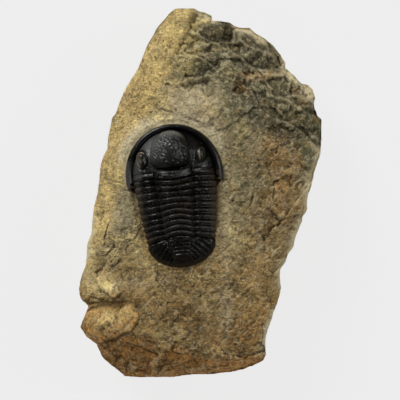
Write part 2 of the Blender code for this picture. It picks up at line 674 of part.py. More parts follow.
def make_segment(number, material):
    """One plate of the thorax: a ring over the axis and a rib to each side."""
    rows = ((0.0, 1.0), (0.2, 0.25), (0.45, 0.0), (0.8, 0.2), (1.0, 1.0))
    bm = bmesh.new()
    bmesh.ops.create_grid(bm, x_segments=SEGMENT_COLUMNS, y_segments=len(rows) - 1, size=0.5)
    middle = THORAX_FRONT - (number - 0.5) * SEGMENT_PITCH
    width = thorax_half_width(middle)
    for vert in bm.verts:
        u = width * 2.0 * vert.co.x
        share, drop = rows[round((0.5 - vert.co.y) * (len(rows) - 1))]
        front = seam_line(number - 1, u) - SEAM * 0.5
        rear = seam_line(number, u) + SEAM * 0.5
        v = mix(front, rear, share)
        height = thorax_section(u, middle) - RING_RELIEF * drop
        if abs(u) > axis_half_width(middle) and share == 0.45:
            height -= 0.12
        vert.co = to_block(u, v, max(height, -0.45))
    close_below(bm, (FACE_HEIGHT + SEAT) * MM)
    return new_object("thorax_segment_%02d" % number, bm, material, 50.0)


def tail_front(u):
    return seam_line(SEGMENTS, u) - SEAM * 0.5


def tail_height(u, v):
    """Height of the tail shield above its margin."""
    ring = math.hypot(u / TAIL_HALF_WIDTH, min(v - TAIL_CENTRE, 0.0) / TAIL_REACH)
    back = tail_front(0.0) - v
    dome = (1.0 - clamp01(ring) ** 2.6) ** 0.75
    height = mix(-0.1, PLEURA_TOP_REAR, dome)
    half = mix(AXIS_HALF_WIDTH_REAR, 1.25, clamp01(back / TAIL_AXIS_LENGTH))
    end = smooth_step((TAIL_AXIS_LENGTH + 0.4 - back) / 1.2)
    across = abs(u) / half
    if across < 1.0:
        crest = mix(AXIS_TOP_REAR, 2.3, clamp01(back / TAIL_AXIS_LENGTH) ** 1.3)
        arch = math.sqrt(max(0.0, 1.0 - across ** 2.2))
        height = max(height, mix(height, crest, arch * end))
        ripple = 0.5 - 0.5 * math.cos(2.0 * math.pi * (back - 0.55) / 0.68)
        height -= 0.3 * ripple * end * clamp01(1.2 - back / TAIL_AXIS_LENGTH)
    height -= 0.22 * bell(across - 1.08, 0.16) * end

    # Ribs that fan out backwards over the flanks.
    beside = max(abs(u) - half, 0.0)
    start = (back - 0.35 * beside - 0.05 * beside ** 2) / (1.0 + 0.25 * beside)
    rib = 0.5 - 0.5 * math.cos(2.0 * math.pi * start / 0.9)
    height -= 0.25 * rib * smooth_step((0.86 - ring) / 0.25) * smooth_step((across - 1.05) / 0.25)
    return height


def make_tail(material):
    stations = [0.0, 0.07, 0.14, 0.21, 0.28, 0.35, 0.42, 0.49, 0.57, 0.66, 0.76, 0.86, 0.94, 0.985, 1.0]
    inner = 4.2
    rows = len(stations) - 1
    bm = bmesh.new()
    bmesh.ops.create_grid(bm, x_segments=34, y_segments=rows, size=0.5)
    for vert in bm.verts:
        angle = math.pi * (vert.co.x + 0.5)
        reach = stations[round((vert.co.y + 0.5) * rows)]
        u = mix(inner, TAIL_HALF_WIDTH, reach) * math.cos(angle)
        v = TAIL_CENTRE - TAIL_REACH * math.sin(angle) * reach
        lift = tail_front(u) - TAIL_CENTRE
        v += lift * math.exp(-max(0.0, TAIL_CENTRE - v) / 2.2) * (1.0 - reach ** 8)
        height = 0.0 if reach == 1.0 else tail_height(u, v)
        vert.co = to_block(u, v, height)
    close_below(bm, (FACE_HEIGHT + SEAT) * MM)
    return new_object("pygidium", bm, material, 50.0)


def main():
    for obj in list(bpy.data.objects):
        bpy.data.objects.remove(obj, do_unlink=True)
    limestone = new_material("limestone", LIMESTONE, 0.85)
    make_matrix_rock(limestone)
    make_head(new_material("cephalon_shell", BLACK_SHELL, 0.35))
    for number in range(1, SEGMENTS + 1):
        make_segment(number, new_material("segment_shell_%02d" % number, BLACK_SHELL, 0.35))
    make_tail(new_material("pygidium_shell", BLACK_SHELL, 0.35))


main()
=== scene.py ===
import math

import bmesh
import bpy
import numpy as np
from bpy.props import FloatProperty, FloatVectorProperty, PointerProperty
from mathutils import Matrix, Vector, noise


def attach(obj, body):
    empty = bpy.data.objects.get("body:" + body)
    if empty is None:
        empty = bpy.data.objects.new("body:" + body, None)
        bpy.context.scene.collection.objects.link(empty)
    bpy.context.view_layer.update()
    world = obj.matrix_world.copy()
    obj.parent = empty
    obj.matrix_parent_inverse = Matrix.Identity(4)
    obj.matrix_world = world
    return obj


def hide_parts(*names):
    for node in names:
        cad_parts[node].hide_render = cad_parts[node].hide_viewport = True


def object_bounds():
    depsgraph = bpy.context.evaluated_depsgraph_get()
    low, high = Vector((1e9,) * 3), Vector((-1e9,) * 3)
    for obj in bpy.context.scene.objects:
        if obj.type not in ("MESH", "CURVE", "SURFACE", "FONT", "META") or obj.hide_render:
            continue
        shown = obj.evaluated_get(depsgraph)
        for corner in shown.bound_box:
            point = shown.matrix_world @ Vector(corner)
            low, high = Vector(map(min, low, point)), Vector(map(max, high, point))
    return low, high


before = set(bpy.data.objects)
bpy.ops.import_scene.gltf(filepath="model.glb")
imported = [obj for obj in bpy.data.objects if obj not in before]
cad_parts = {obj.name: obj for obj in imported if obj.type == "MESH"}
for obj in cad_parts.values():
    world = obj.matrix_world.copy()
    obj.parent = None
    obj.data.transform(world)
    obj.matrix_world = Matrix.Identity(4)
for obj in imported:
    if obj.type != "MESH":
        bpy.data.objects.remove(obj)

bl_info = {
    "name": "Trilobite on limestone",
    "version": (1, 0, 0),
    "blender": (4, 5, 0),
    "location": "3D View > Sidebar > Fossil",
    "description": "A black trilobite on its loose block of limestone, in a plain studio",
    "category": "Object",
}

CAD_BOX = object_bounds()
CAD_LOW = np.array(CAD_BOX[0]) * 1000.0
CAD_HIGH = np.array(CAD_BOX[1]) * 1000.0
MM = 0.001

# ---- the block of limestone, in millimetres
FACE_HEIGHT = 16.0
EDGE_WEAR = 1.3
EDGE_WEAR_REACH = 0.9
BLOCK_CENTRE = (-4.2, -0.7)
BLOCK_COLUMNS = 640
FACE_ROWS = 104
SIDE_ROWS = 30

TIP = [(-2.7, 32.4), (-1.8, 32.4), (-0.7, 31.8), (0.7, 31.4), (1.8, 30.9), (2.0, 30.0)]
UPPER_RIGHT_EDGE = [
    (4.1, 29.9), (5.2, 29.7), (6.4, 29.0), (8.4, 28.9), (9.4, 28.1), (10.9, 27.1), (12.2, 26.1),
    (13.8, 24.3), (14.7, 22.7), (14.6, 21.9), (15.5, 21.2), (16.6, 20.0), (17.4, 19.2), (18.5, 19.0),
    (19.4, 18.2), (19.9, 16.6), (19.6, 15.6),
]
RIGHT_EDGE = [
    (19.7, 14.8), (20.3, 13.4), (21.1, 12.7), (21.3, 11.9), (20.9, 9.0), (20.6, 6.6), (20.1, 5.4),
    (19.5, 3.6), (19.1, 1.1), (18.7, -0.1), (18.6, -2.8), (18.4, -3.4), (17.8, -4.0), (17.7, -5.0),
    (16.9, -6.8), (16.5, -7.9), (16.3, -9.2), (15.2, -10.7), (14.8, -12.0), (13.9, -13.2), (13.8, -14.8),
    (14.0, -16.3), (13.9, -17.4), (13.3, -19.3), (12.9, -20.3), (12.4, -21.9), (11.5, -24.4), (11.3, -25.8),
    (11.3, -28.0),
]
BOTTOM_EDGE = [
    (10.6, -29.0), (9.0, -29.9), (6.8, -30.7), (4.9, -31.1), (1.2, -31.5), (-1.2, -31.5), (-3.0, -31.7),
    (-7.2, -32.4), (-8.8, -32.1), (-10.0, -32.1), (-13.4, -31.9), (-14.3, -31.1),
]
CORNER_BLOCK = [
    (-15.7, -29.9), (-17.4, -28.3), (-18.1, -27.1), (-18.4, -26.4), (-20.0, -25.2), (-21.1, -23.4),
    (-20.4, -21.6), (-19.6, -19.7), (-19.9, -19.4),
]
LEFT_EDGE = [
    (-20.7, -18.7), (-21.2, -17.7), (-21.3, -16.7), (-21.1, -15.5), (-20.7, -14.0), (-20.2, -12.8),
    (-20.0, -11.1), (-20.0, -9.2), (-19.7, -8.2), (-19.2, -7.2), (-19.1, -5.0), (-18.8, -2.4),
    (-18.5, -1.1), (-18.1, 0.6), (-17.7, 4.1), (-17.6, 5.2), (-17.1, 6.5), (-16.5, 7.8), (-16.3, 9.8),
    (-15.9, 11.8), (-15.6, 13.3), (-14.9, 14.4), (-14.3, 16.2), (-13.6, 17.9), (-12.4, 19.9), (-11.1, 21.9),
    (-10.2, 23.9), (-9.4, 25.6), (-8.2, 27.6), (-7.6, 28.8), (-6.6, 29.9), (-5.3, 31.4), (-4.4, 32.1),
]
OUTLINE = TIP + UPPER_RIGHT_EDGE + RIGHT_EDGE + BOTTOM_EDGE + CORNER_BLOCK + LEFT_EDGE

# A point on the upper edge, the downhill direction, the slope, the drop at the edge, the softness.
FACES = {
    "weathered_left_upper": ((-6.3, 19.0), (-0.904, 0.427), 37.0, 0.0, 1.2),
    "weathered_left_lower": ((-14.4, 0.6), (-0.955, 0.296), 44.0, 0.0, 1.2),
    "tip": ((-1.5, 26.5), (-0.25, 0.97), 30.0, 0.0, 1.0),
    "broken_upper_right": ((-3.2, 19.0), (0.575, 0.818), 17.0, 0.0, 0.5),
    "stained_right": ((9.6, 8.0), (0.975, 0.222), 19.0, 0.0, 1.0),
    "right_lower": ((9.0, -14.0), (0.95, -0.30), 20.0, 0.0, 1.0),
    "dark_lower_left": ((-9.0, -25.0), (-0.22, -0.975), 38.0, 0.2, 0.4),
    "bedded_foot": ((3.0, -28.3), (0.06, -0.998), 61.0, 0.0, 0.3),
    "foot_corner": ((9.6, -26.6), (0.62, -0.78), 30.0, 0.0, 0.5),
}
# How far in from the outline the sides lie at each height.
SIDE_LEVELS = ((0.0, 1.45), (0.9, 1.25), (2.6, 0.8), (4.6, 0.45), (6.6, 0.12), (8.6, 0.0), (26.0, 0.0))
SIDE_CHIPS = 1.15
MERGE_DISTANCE = 0.00001 * MM

# ---- the trilobite, in its own frame: u to its right, v to the head, w up
ANIMAL_PLACE = (-4.55, 3.2)
ANIMAL_TURN = math.radians(6.0)
ANIMAL_LEAN = 0.10
SEAT = -0.9
HIDDEN_MARGIN = 0.35
HIDDEN_SINK = 0.6
HEAD_HALF_WIDTH = 8.45
HEAD_REACH = 8.8
HEAD_START_HALF_WIDTH = 5.4
HEAD_ZONE_REAR = -1.9
HEAD_MARGIN_HEIGHT = 0.2
GENAL_ANGLE = math.radians(12.0)
BORDER_FRONT = 0.95
BORDER_SIDE = 1.4
BORDER_TOP = 1.3
BORDER_FURROW = 0.55
CHEEK_RISE = 2.2
GLABELLA_CENTRE = 4.25
GLABELLA_HALF_LENGTH = 3.5
GLABELLA_HALF_WIDTH = 3.5
GLABELLA_TOP = 5.0
EYE_OFFSET = 5.1
EYE_STATION = 3.1
EYE_HALF_LENGTH = 1.6
EYE_HALF_WIDTH = 1.05
EYE_TOP = 3.75
SEGMENTS = 10
THORAX_FRONT = -0.91
SEGMENT_PITCH = 0.957
SEAM = 0.22
AXIS_HALF_WIDTH_FRONT = 3.4
AXIS_HALF_WIDTH_REAR = 2.4
THORAX_HALF_WIDTH_FRONT = 7.3
THORAX_HALF_WIDTH_REAR = 6.05
AXIS_TOP_FRONT = 4.35
AXIS_TOP_REAR = 3.5
PLEURA_TOP_FRONT = 2.75
PLEURA_TOP_REAR = 2.3
RING_RELIEF = 0.45
PLATE_LOWEST = -0.45
PLATE_FRONT_LAP = 0.05
PLATE_REAR_LAP = 0.08
TAIL_HALF_WIDTH = 6.0
TAIL_CENTRE = -11.8
TAIL_REACH = 4.35
TAIL_MEAN_REACH = 5.3
TAIL_AXIS_LENGTH = 4.0
TAIL_START_HALF_WIDTH = 4.2
RIB_FRONT = 0.24
HEAD_COLUMNS = 400
HEAD_INSIDE_ROWS = 92
HEAD_BORDER_ROWS = 26
PLATE_COLUMNS = 220
PLATE_ROWS = 22
TAIL_COLUMNS = 260
TAIL_ROWS = 84


def linear(red, green, blue):
    """Screen values from 0 to 255 as the linear numbers a shader takes."""
    return tuple((value / 255.0) ** 2.2 for value in (red, green, blue))


# ---- the studio, in metres
FLOOR_RADIUS = 1.5
FLOOR_SIDES = 96
LIGHTS_AIM = (-0.002, 0.0, 0.012)
CAMERA_AIM = (-0.17 * MM, -1.17 * MM, 11.0 * MM)
SENSOR_WIDTH = 36.0
# Soft round lights: size, place, whether they show as reflections.
LIGHTS = {
    "key_light": (0.30, (-0.30, 0.42, 0.40), True),
    "fill_light": (0.32, (0.5, 0.1, 0.35), True),
    "low_light": (0.5, (-0.1, -0.55, 0.4), False),
}
LOW_LIGHT_SHARE = 0.5

# ---- finishes shared by the shell and the stone
STREAK_TURN = math.radians(40.0)
STONE_BUMP = 0.5 * MM
SHELL_BUMP = 0.05 * MM
SHELL_HAZE = linear(88, 80, 68)
# Grey of the painted sheen laid over parts of the shell.
SHELL_SHEEN = (0.13, 0.131, 0.122)
# Pale specks painted as glints on the granules.
SHELL_GLINT = (0.2, 0.2, 0.185)
HEAD_HAZE = 0.04
THORAX_HAZE = 0.34
TAIL_HAZE = 0.10


# ---- settings

def colour_setting(name, description, default):
    return FloatVectorProperty(name=name, description=description, subtype="COLOR", default=default,
                               min=0.0, max=1.0)


def number_setting(name, description, default, high, unit="NONE", low=0.0):
    return FloatProperty(name=name, description=description, default=default, min=low, max=high, unit=unit)


class BlockSettings(bpy.types.PropertyGroup):
    tan: colour_setting("Weathered tan", "Colour of the weathered left side", linear(214, 186, 118))
    olive: colour_setting("Grey-olive", "Colour of the freshly broken upper right", linear(104, 101, 70))
    umber: colour_setting("Brown-grey", "Colour of the prepared face and lower half", linear(168, 144, 94))
    rust: colour_setting("Rust", "Colour of the iron stains", linear(170, 121, 60))
    foot: colour_setting("Dark foot", "Colour of the dark lower faces", linear(180, 128, 62))
    pink: colour_setting("Pinkish grey", "Colour of the palest flats", linear(176, 163, 131))
    straw: colour_setting("Straw", "Pale patches of the weathered side", linear(218, 196, 130))
    warm: colour_setting("Warm brown", "Colour of the lower half", linear(170, 137, 80))
    ochre: colour_setting("Ochre", "Warm patches of the stone", linear(186, 146, 82))
    # Cream is the colour of pale streaks and also of painted highlights on crests, ridges, rims and glints.
    cream: colour_setting("Cream", "Colour of fresh crests and bruised grains", linear(226, 210, 164))
    # Painted shade: the colour laid in cracks, pits, hollows, pores and dark nicks.
    shade: colour_setting("Crack dark", "Colour inside cracks and pits", linear(44, 36, 24))


class ShellSettings(bpy.types.PropertyGroup):
    black: colour_setting("Black shell", "Colour of the black calcite", (0.0016, 0.0016, 0.0014))
    dust: colour_setting("Dust", "Colour of the limestone film left on the shell", linear(92, 76, 54))
    # The pale eye colour also paints the highlight on the lit side of each eye.
    residue_and_highlight: colour_setting("Eye residue", "Colour of the pale stone left on the eyes", linear(196, 182, 150))
    roughness: number_setting("Shell roughness", "Roughness of the shell where it is clean", 0.2, 1.0)
    granules: number_setting("Granules", "Height of the granules of the glabella", 0.16 * MM, 0.3 * MM,
                             "LENGTH")


class StudioSettings(bpy.types.PropertyGroup):
    frame_width: number_setting("Frame width", "Width of the view at the block's rim", 70.0 * MM, 1.0,
                                "LENGTH", 10.0 * MM)
    lens: number_setting("Lens", "Focal length of the camera in millimetres", 200.0, 400.0, low=20.0)
    floor: colour_setting("Floor", "Colour of the studio floor", (0.06, 0.06, 0.06))
    floor_glow: number_setting("Floor glow", "Light of the lit paper under the object", 0.80, 2.0)
    rim_height: number_setting("Rim height", "Height of the paper's raised rim", 0.15, 1.0, "LENGTH")
    key_power: number_setting("Key light", "Power of the soft light at the upper left", 3.5, 50.0, "POWER")
    fill_power: number_setting("Fill light", "Power of the weak light at the right", 1.2, 50.0, "POWER")
    sky: number_setting("Sky", "Strength of the even light from all round", 0.06, 5.0)


# ---- shader maths

class NodeMaker:
    """Anything that adds nodes to a material's tree."""

    def node(self, kind, settings, inputs):
        """Any node: its settings are set first, then its sockets are filled or linked."""
        node = self.tree.nodes.new(kind)
        for key, value in settings.items():
            setattr(node, key, value)
        for key, value in inputs.items():
            socket = node.inputs[key]
            if isinstance(value, Value):
                self.tree.links.new(value.socket, socket)
            elif isinstance(value, bpy.types.NodeSocket):
                self.tree.links.new(value, socket)
            elif socket.type == "RGBA":
                socket.default_value = (*value[:3], 1.0)
            else:
                socket.default_value = value
        return node


class Value(NodeMaker):
    """A number on a surface. Sums and products of values add Math nodes."""

    def __init__(self, tree, socket):
        self.tree = tree
        self.socket = socket

    def combine(self, operation, *items):
        node = self.node("ShaderNodeMath", {"operation": operation}, dict(enumerate(items)))
        return Value(self.tree, node.outputs[0])

    def __add__(self, other):
        return self.combine("ADD", self, other)

    __radd__ = __add__

    def __sub__(self, other):
        return self.combine("SUBTRACT", self, other)

    def __rsub__(self, other):
        return self.combine("SUBTRACT", other, self)

    def __mul__(self, other):
        return self.combine("MULTIPLY", self, other)

    __rmul__ = __mul__

    def size(self):
        return self.combine("ABSOLUTE", self)

    def at_least(self, low):
        return self.combine("MAXIMUM", self, low)

    def clamped(self):
        return self.combine("MINIMUM", self.at_least(0.0), 1.0)

    def step(self, low, high):
        """0 below low, 1 above high, smooth between."""
        node = self.node("ShaderNodeMapRange", {"interpolation_type": "SMOOTHSTEP"},
                         {"Value": self, "From Min": low, "From Max": high})
        return Value(self.tree, node.outputs["Result"])


class Finish(NodeMaker):
    """A material under construction, whose textures are measured in millimetres."""

    def __init__(self, name):
        self.material = bpy.data.materials.new(name)
        self.material.use_nodes = True
        self.tree = self.material.node_tree
        self.shader = self.tree.nodes["Principled BSDF"]
        place = self.node("ShaderNodeTexCoord", {}, {})
        self.place = self.vector("SCALE", place.outputs["Object"], "Scale", 1.0 / MM)

    def vector(self, operation, first, key, second):
        node = self.node("ShaderNodeVectorMath", {"operation": operation}, {0: first, key: second})
        return node.outputs["Vector"]

    def noise(self, scale, detail, roughness, distortion=0.0, stretch=(1.0, 1.0, 1.0)):
        """Noise between about 0 and 1, drawn out along the streaks of the stone where it is stretched."""
        place = self.place
        if stretch != (1.0, 1.0, 1.0):
            mapped = self.node("ShaderNodeMapping", {},
                               {"Vector": place, "Rotation": (0.0, 0.0, -STREAK_TURN), "Scale": stretch})
            place = mapped.outputs["Vector"]
        node = self.node("ShaderNodeTexNoise", {}, {"Vector": place, "Scale": scale, "Detail": detail,
                                                    "Roughness": roughness, "Distortion": distortion})
        return Value(self.tree, node.outputs["Fac"])

    def cells(self, scale):
        node = self.node("ShaderNodeTexVoronoi", {}, {"Vector": self.place, "Scale": scale})
        return Value(self.tree, node.outputs["Distance"])

    def flats(self, scale, waver):
        """Two numbers for each ragged flat of the stone."""
        push = self.node("ShaderNodeTexNoise", {},
                         {"Vector": self.place, "Scale": 2.5 * scale, "Detail": 4.0})
        shift = self.vector("SCALE", push.outputs["Color"], "Scale", waver)
        moved = self.vector("ADD", self.place, 1, shift)
        cell = self.node("ShaderNodeTexVoronoi", {}, {"Vector": moved, "Scale": scale})
        parts = self.node("ShaderNodeSeparateColor", {}, {"Color": cell.outputs["Color"]})
        return Value(self.tree, parts.outputs["Red"]), Value(self.tree, parts.outputs["Green"])

    def attribute(self, name):
        node = self.node("ShaderNodeAttribute", {"attribute_name": name}, {})
        return Value(self.tree, node.outputs["Fac"])

    def mix(self, first, second, share, blend="MIX"):
        """Two colours mixed; the Mix node holds its colours in inputs 6 and 7 and output 2."""
        node = self.node("ShaderNodeMix", {"data_type": "RGBA", "blend_type": blend},
                         {0: share, 6: first, 7: second})
        return node.outputs[2]

    def layered(self, body, layers):
        """A colour with more colours laid over it, each with its share."""
        for colour, share in layers:
            body = self.mix(body, colour, share)
        return body

    def grey(self, value):
        """A number as a grey colour, for multiplying a colour by it."""
        node = self.node("ShaderNodeCombineColor", {}, {"Red": value, "Green": value, "Blue": value})
        return node.outputs["Color"]

    def finish(self, colour, roughness, height, distance):
        """Link colour, roughness and a bump to the shader."""
        bump = self.node("ShaderNodeBump", {}, {"Height": height, "Distance": distance, "Strength": 1.0})
        sockets = {"Base Color": colour, "Roughness": roughness.socket, "Normal": bump.outputs["Normal"]}
        for name, socket in sockets.items():
            self.tree.links.new(socket, self.shader.inputs[name])
        return self.material


def times(colour, share):
    return tuple(share * part for part in colour)


# ---- numbers over many points

def clamp(value):
    return np.clip(value, 0.0, 1.0)


def smooth_step(value):
    share = clamp(value)
    return share * share * (3.0 - 2.0 * share)


def mix(a, b, share):
    return a + (b - a) * share


def bell(value, width):
    return np.exp(-(value / width) ** 2)


def oval(x, y, middle_x, middle_y, half_x, half_y):
    """A soft patch: 1 in its middle, fading with its half lengths."""
    return bell(np.hypot((x - middle_x) / half_x, (y - middle_y) / half_y), 1.0)


def soft_min(a, b, radius):
    """The lower of two heights, with the meeting line rounded off."""
    near = np.maximum(radius - np.abs(a - b), 0.0) / radius
    return np.minimum(a, b) - near * near * radius * 0.25


def soft_max(a, b, radius):
    return -soft_min(-a, -b, radius)


def rounded(share, power):
    """Height of a round back: 1 in its middle, 0 from its edge on."""
    return np.sqrt(np.maximum(0.0, 1.0 - share ** power))


def waves(x, y, scale, seed):
    """Smooth noise between about -1 and 1, over arrays of points."""
    flat = [noise.noise(Vector((a, b, seed))) for a, b in zip(np.ravel(x * scale), np.ravel(y * scale))]
    return np.array(flat).reshape(x.shape)


def lot(i, j, seed):
    """A fixed number between -1 and 1 for each pair of whole numbers."""
    mixed = (i * 374761393 + j * 668265263 + seed * 974711) & 0xFFFFFFFF
    mixed = ((mixed ^ (mixed >> 13)) * 1274126177) & 0xFFFFFFFF
    return ((mixed ^ (mixed >> 16)) & 0xFFFF) / 32767.5 - 1.0


def ripple(x, y, size, seed):
    """Smooth noise between about -1 and 1, in lumps about size across."""
    px = x / size + 0.37 * seed
    py = y / size - 0.61 * seed
    i = np.floor(px).astype(np.int64)
    j = np.floor(py).astype(np.int64)
    fx = px - i
    fy = py - j
    share_x = fx ** 3 * (fx * (fx * 6.0 - 15.0) + 10.0)
    share_y = fy ** 3 * (fy * (fy * 6.0 - 15.0) + 10.0)
    rows = []
    for dj in (0, 1):
        ends = []
        for di in (0, 1):
            ends.append(lot(i + di, j + dj, seed) * (fx - di) + lot(i + di, j + dj, seed + 57) * (fy - dj))
        rows.append(mix(ends[0], ends[1], share_x))
    return 1.5 * mix(rows[0], rows[1], share_y)


def fractal(x, y, size, seed, octaves=4, gain=0.55, creased=False):
    """Noise in several sizes; creased noise has sharp crests."""
    total = 0.0
    weight = 1.0
    for octave in range(octaves):
        layer = ripple(x, y, size, seed + octave)
        if creased:
            layer = 1.0 - 2.2 * np.abs(layer)
        total = total + weight * layer
        x, y = 0.8 * x - 0.6 * y, 0.6 * x + 0.8 * y
        size *= 0.5
        weight *= gain
    return total


def studs(x, y, size, radius, seed):
    """Scattered rounded granules: 1 on the top of a granule, 0 between them."""
    i = np.floor(x / size).astype(np.int64)
    j = np.floor(y / size).astype(np.int64)
    nearest = np.full(x.shape, 9.0)
    for di in (-1, 0, 1):
        for dj in (-1, 0, 1):
            dx = x / size - (i + di + 0.5 + 0.45 * lot(i + di, j + dj, seed))
            dy = y / size - (j + dj + 0.5 + 0.45 * lot(i + di, j + dj, seed + 31))
            nearest = np.minimum(nearest, np.hypot(dx, dy))
    return clamp(1.0 - (nearest / radius) ** 2)


def turned(x, y, angle):
    """Distances along and across a direction."""
    cosine = math.cos(angle)
    sine = math.sin(angle)
    return x * cosine + y * sine, y * cosine - x * sine


def chipped(x, y, size, seed, crisp):
    """Height of rough chips: small tilted flats that meet in breaks, the narrower the crisper."""
    column = np.floor(x / size).astype(int)
    row = np.floor(y / size).astype(int)
    low_i, low_j = column.min() - 1, row.min() - 1
    wide, tall = column.max() - low_i + 2, row.max() - low_j + 2
    pick = np.zeros((wide, tall, 3))
    tilt = np.zeros((wide, tall, 3))
    for i in range(wide):
        for j in range(tall):
            pick[i, j] = noise.cell_vector(Vector((i + low_i + 0.5, j + low_j + 0.5, seed)))
            tilt[i, j] = noise.cell_vector(Vector((i + low_i + 0.5, j + low_j + 0.5, seed + 7.0)))
    total = np.zeros_like(x)
    weights = np.zeros_like(x)
    for di in (-1, 0, 1):
        for dj in (-1, 0, 1):
            i = column + di - low_i
            j = row + dj - low_j
            dx = x - (column + di + 0.5 + 0.42 * pick[i, j, 0]) * size
            dy = y - (row + dj + 0.5 + 0.42 * pick[i, j, 1]) * size
            weight = np.exp(-crisp * (dx * dx + dy * dy) / size ** 2) + 1e-30
            total += weight * (dx * tilt[i, j, 0] + dy * tilt[i, j, 1] + 0.5 * size * tilt[i, j, 2])
            weights += weight
    return total / weights / size


def facets(x, y, size, seed):
    """Height of a surface broken into flat three-sided facets, between about -1 and 1."""
    px = x / size + 0.31 * seed
    py = y / size - 0.47 * seed
    skew = 0.366 * (px + py)
    i = np.floor(px + skew).astype(np.int64)
    j = np.floor(py + skew).astype(np.int64)
    fx = px + skew - i
    fy = py + skew - j
    start = lot(i, j, seed)
    far = lot(i + 1, j + 1, seed)
    right = lot(i + 1, j, seed)
    above = lot(i, j + 1, seed)
    return np.where(fx > fy, start + (right - start) * fx + (far - right) * fy,
                    start + (above - start) * fy + (far - above) * fx)


def ledges(value):
    """Flat treads with short steep risers between them, one unit apart."""
    tread = np.floor(value)
    return tread + smooth_step((value - tread - 0.91) / 0.09)


def line_gap(x, y, points):
    """Distance from each point to a broken line."""
    gap = np.full_like(x, 1e9)
    for (ax, ay), (bx, by) in zip(points, points[1:]):
        length = max((bx - ax) ** 2 + (by - ay) ** 2, 1e-9)
        t = clamp(((x - ax) * (bx - ax) + (y - ay) * (by - ay)) / length)
        gap = np.minimum(gap, np.hypot(x - ax - t * (bx - ax), y - ay - t * (by - ay)))
    return gap


def lines_gap(x, y, lines):
    """Distance from each point to the nearest of several broken lines."""
    return np.minimum.reduce([line_gap(x, y, points) for points in lines])


def polygon_gap(x, y, corners):
    """Distance to the edge of a flat shape with straight sides, negative inside."""
    inside = np.zeros(x.shape, dtype=bool)
    ring = corners + [corners[0]]
    for (ax, ay), (bx, by) in zip(ring, ring[1:]):
        crosses = (ay > y) != (by > y)
        at = ax + (y - ay) * (bx - ax) / (by - ay if by != ay else 1e-9)
        inside ^= crosses & (x < at)
    gap = line_gap(x, y, ring)
    return np.where(inside, -gap, gap)


# ---- the animal's outline

def to_block(u, v, w):
    """Points of the animal, leaned, turned and set down on the block, in millimetres."""
    x, y = turned(u - ANIMAL_LEAN * np.maximum(w, 0.0), v, -ANIMAL_TURN)
    return np.stack([ANIMAL_PLACE[0] + x, ANIMAL_PLACE[1] + y, FACE_HEIGHT + w], axis=-1)


def to_animal(x, y):
    return turned(x - ANIMAL_PLACE[0], y - ANIMAL_PLACE[1], ANIMAL_TURN)


def along_thorax(v):
    return clamp((THORAX_FRONT - v) / (SEGMENTS * SEGMENT_PITCH))


def axis_half_width(v):
    return mix(AXIS_HALF_WIDTH_FRONT, AXIS_HALF_WIDTH_REAR, along_thorax(v) ** 0.8)


def thorax_half_width(v):
    return mix(THORAX_HALF_WIDTH_FRONT, THORAX_HALF_WIDTH_REAR, along_thorax(v) ** 1.3)


def seam_line(index, u):
    """Where the seam behind plate number index lies at u; 0 is behind the head."""
    base = THORAX_FRONT - index * SEGMENT_PITCH
    half = axis_half_width(base)
    width = thorax_half_width(base)
    across = np.abs(u) / half
    bow = mix(-0.5, 0.58, smooth_step(index / 6.0))
    arch = bow * np.minimum(across, 1.0) ** 1.7
    beyond = clamp((np.abs(u) - half) / (width - half))
    sweep = mix(0.25, 0.8, smooth_step((index - 3.0) / 7.0))
    return base - arch - sweep * beyond ** 2


def arc(half_width, reach, start, end, steps):
    """Points of an oval from one angle to another."""
    angles = [mix(start, end, step / steps) for step in range(steps + 1)]
    return [(half_width * math.cos(angle), reach * math.sin(angle)) for angle in angles]


def animal_outline(margin):
    """The whole animal seen from above, widened by margin, anticlockwise from its right genal angle."""
    points = arc(HEAD_HALF_WIDTH + margin, HEAD_REACH + margin, -GENAL_ANGLE, math.pi + GENAL_ANGLE, 40)
    flank = THORAX_HALF_WIDTH_FRONT + margin
    genal_rear = -HEAD_REACH * math.sin(GENAL_ANGLE) - margin
    left = [(-flank - 0.8, genal_rear)]
    for step in range(9):
        v = mix(genal_rear, TAIL_CENTRE, step / 8)
        left.append((-(float(thorax_half_width(v)) + margin), v))
    tail = arc(TAIL_HALF_WIDTH + margin, TAIL_REACH + margin, 0.0, math.pi, 24)[1:-1]
    points += left + [(-u, TAIL_CENTRE - v) for u, v in tail]
    return points + [(-u, v) for u, v in reversed(left)]


def distance_outside(u, v):
    """Rough distance from a point to the animal's outline, 0 on the animal."""
    head = (np.hypot(u / HEAD_HALF_WIDTH, np.maximum(v, 0.0) / HEAD_REACH) - 1.0) * HEAD_HALF_WIDTH
    thorax = np.abs(u) - thorax_half_width(v)
    tail = (np.hypot(u / TAIL_HALF_WIDTH, (v - TAIL_CENTRE) / TAIL_REACH) - 1.0) * TAIL_MEAN_REACH
    outside = np.where(v > HEAD_ZONE_REAR, head, np.where(v > TAIL_CENTRE, thorax, tail))
    return np.maximum(outside, 0.0)


# ---- the block's relief

def face_reach(x, y, name):
    (px, py), (dx, dy) = FACES[name][:2]
    return (x - px) * dx + (y - py) * dy


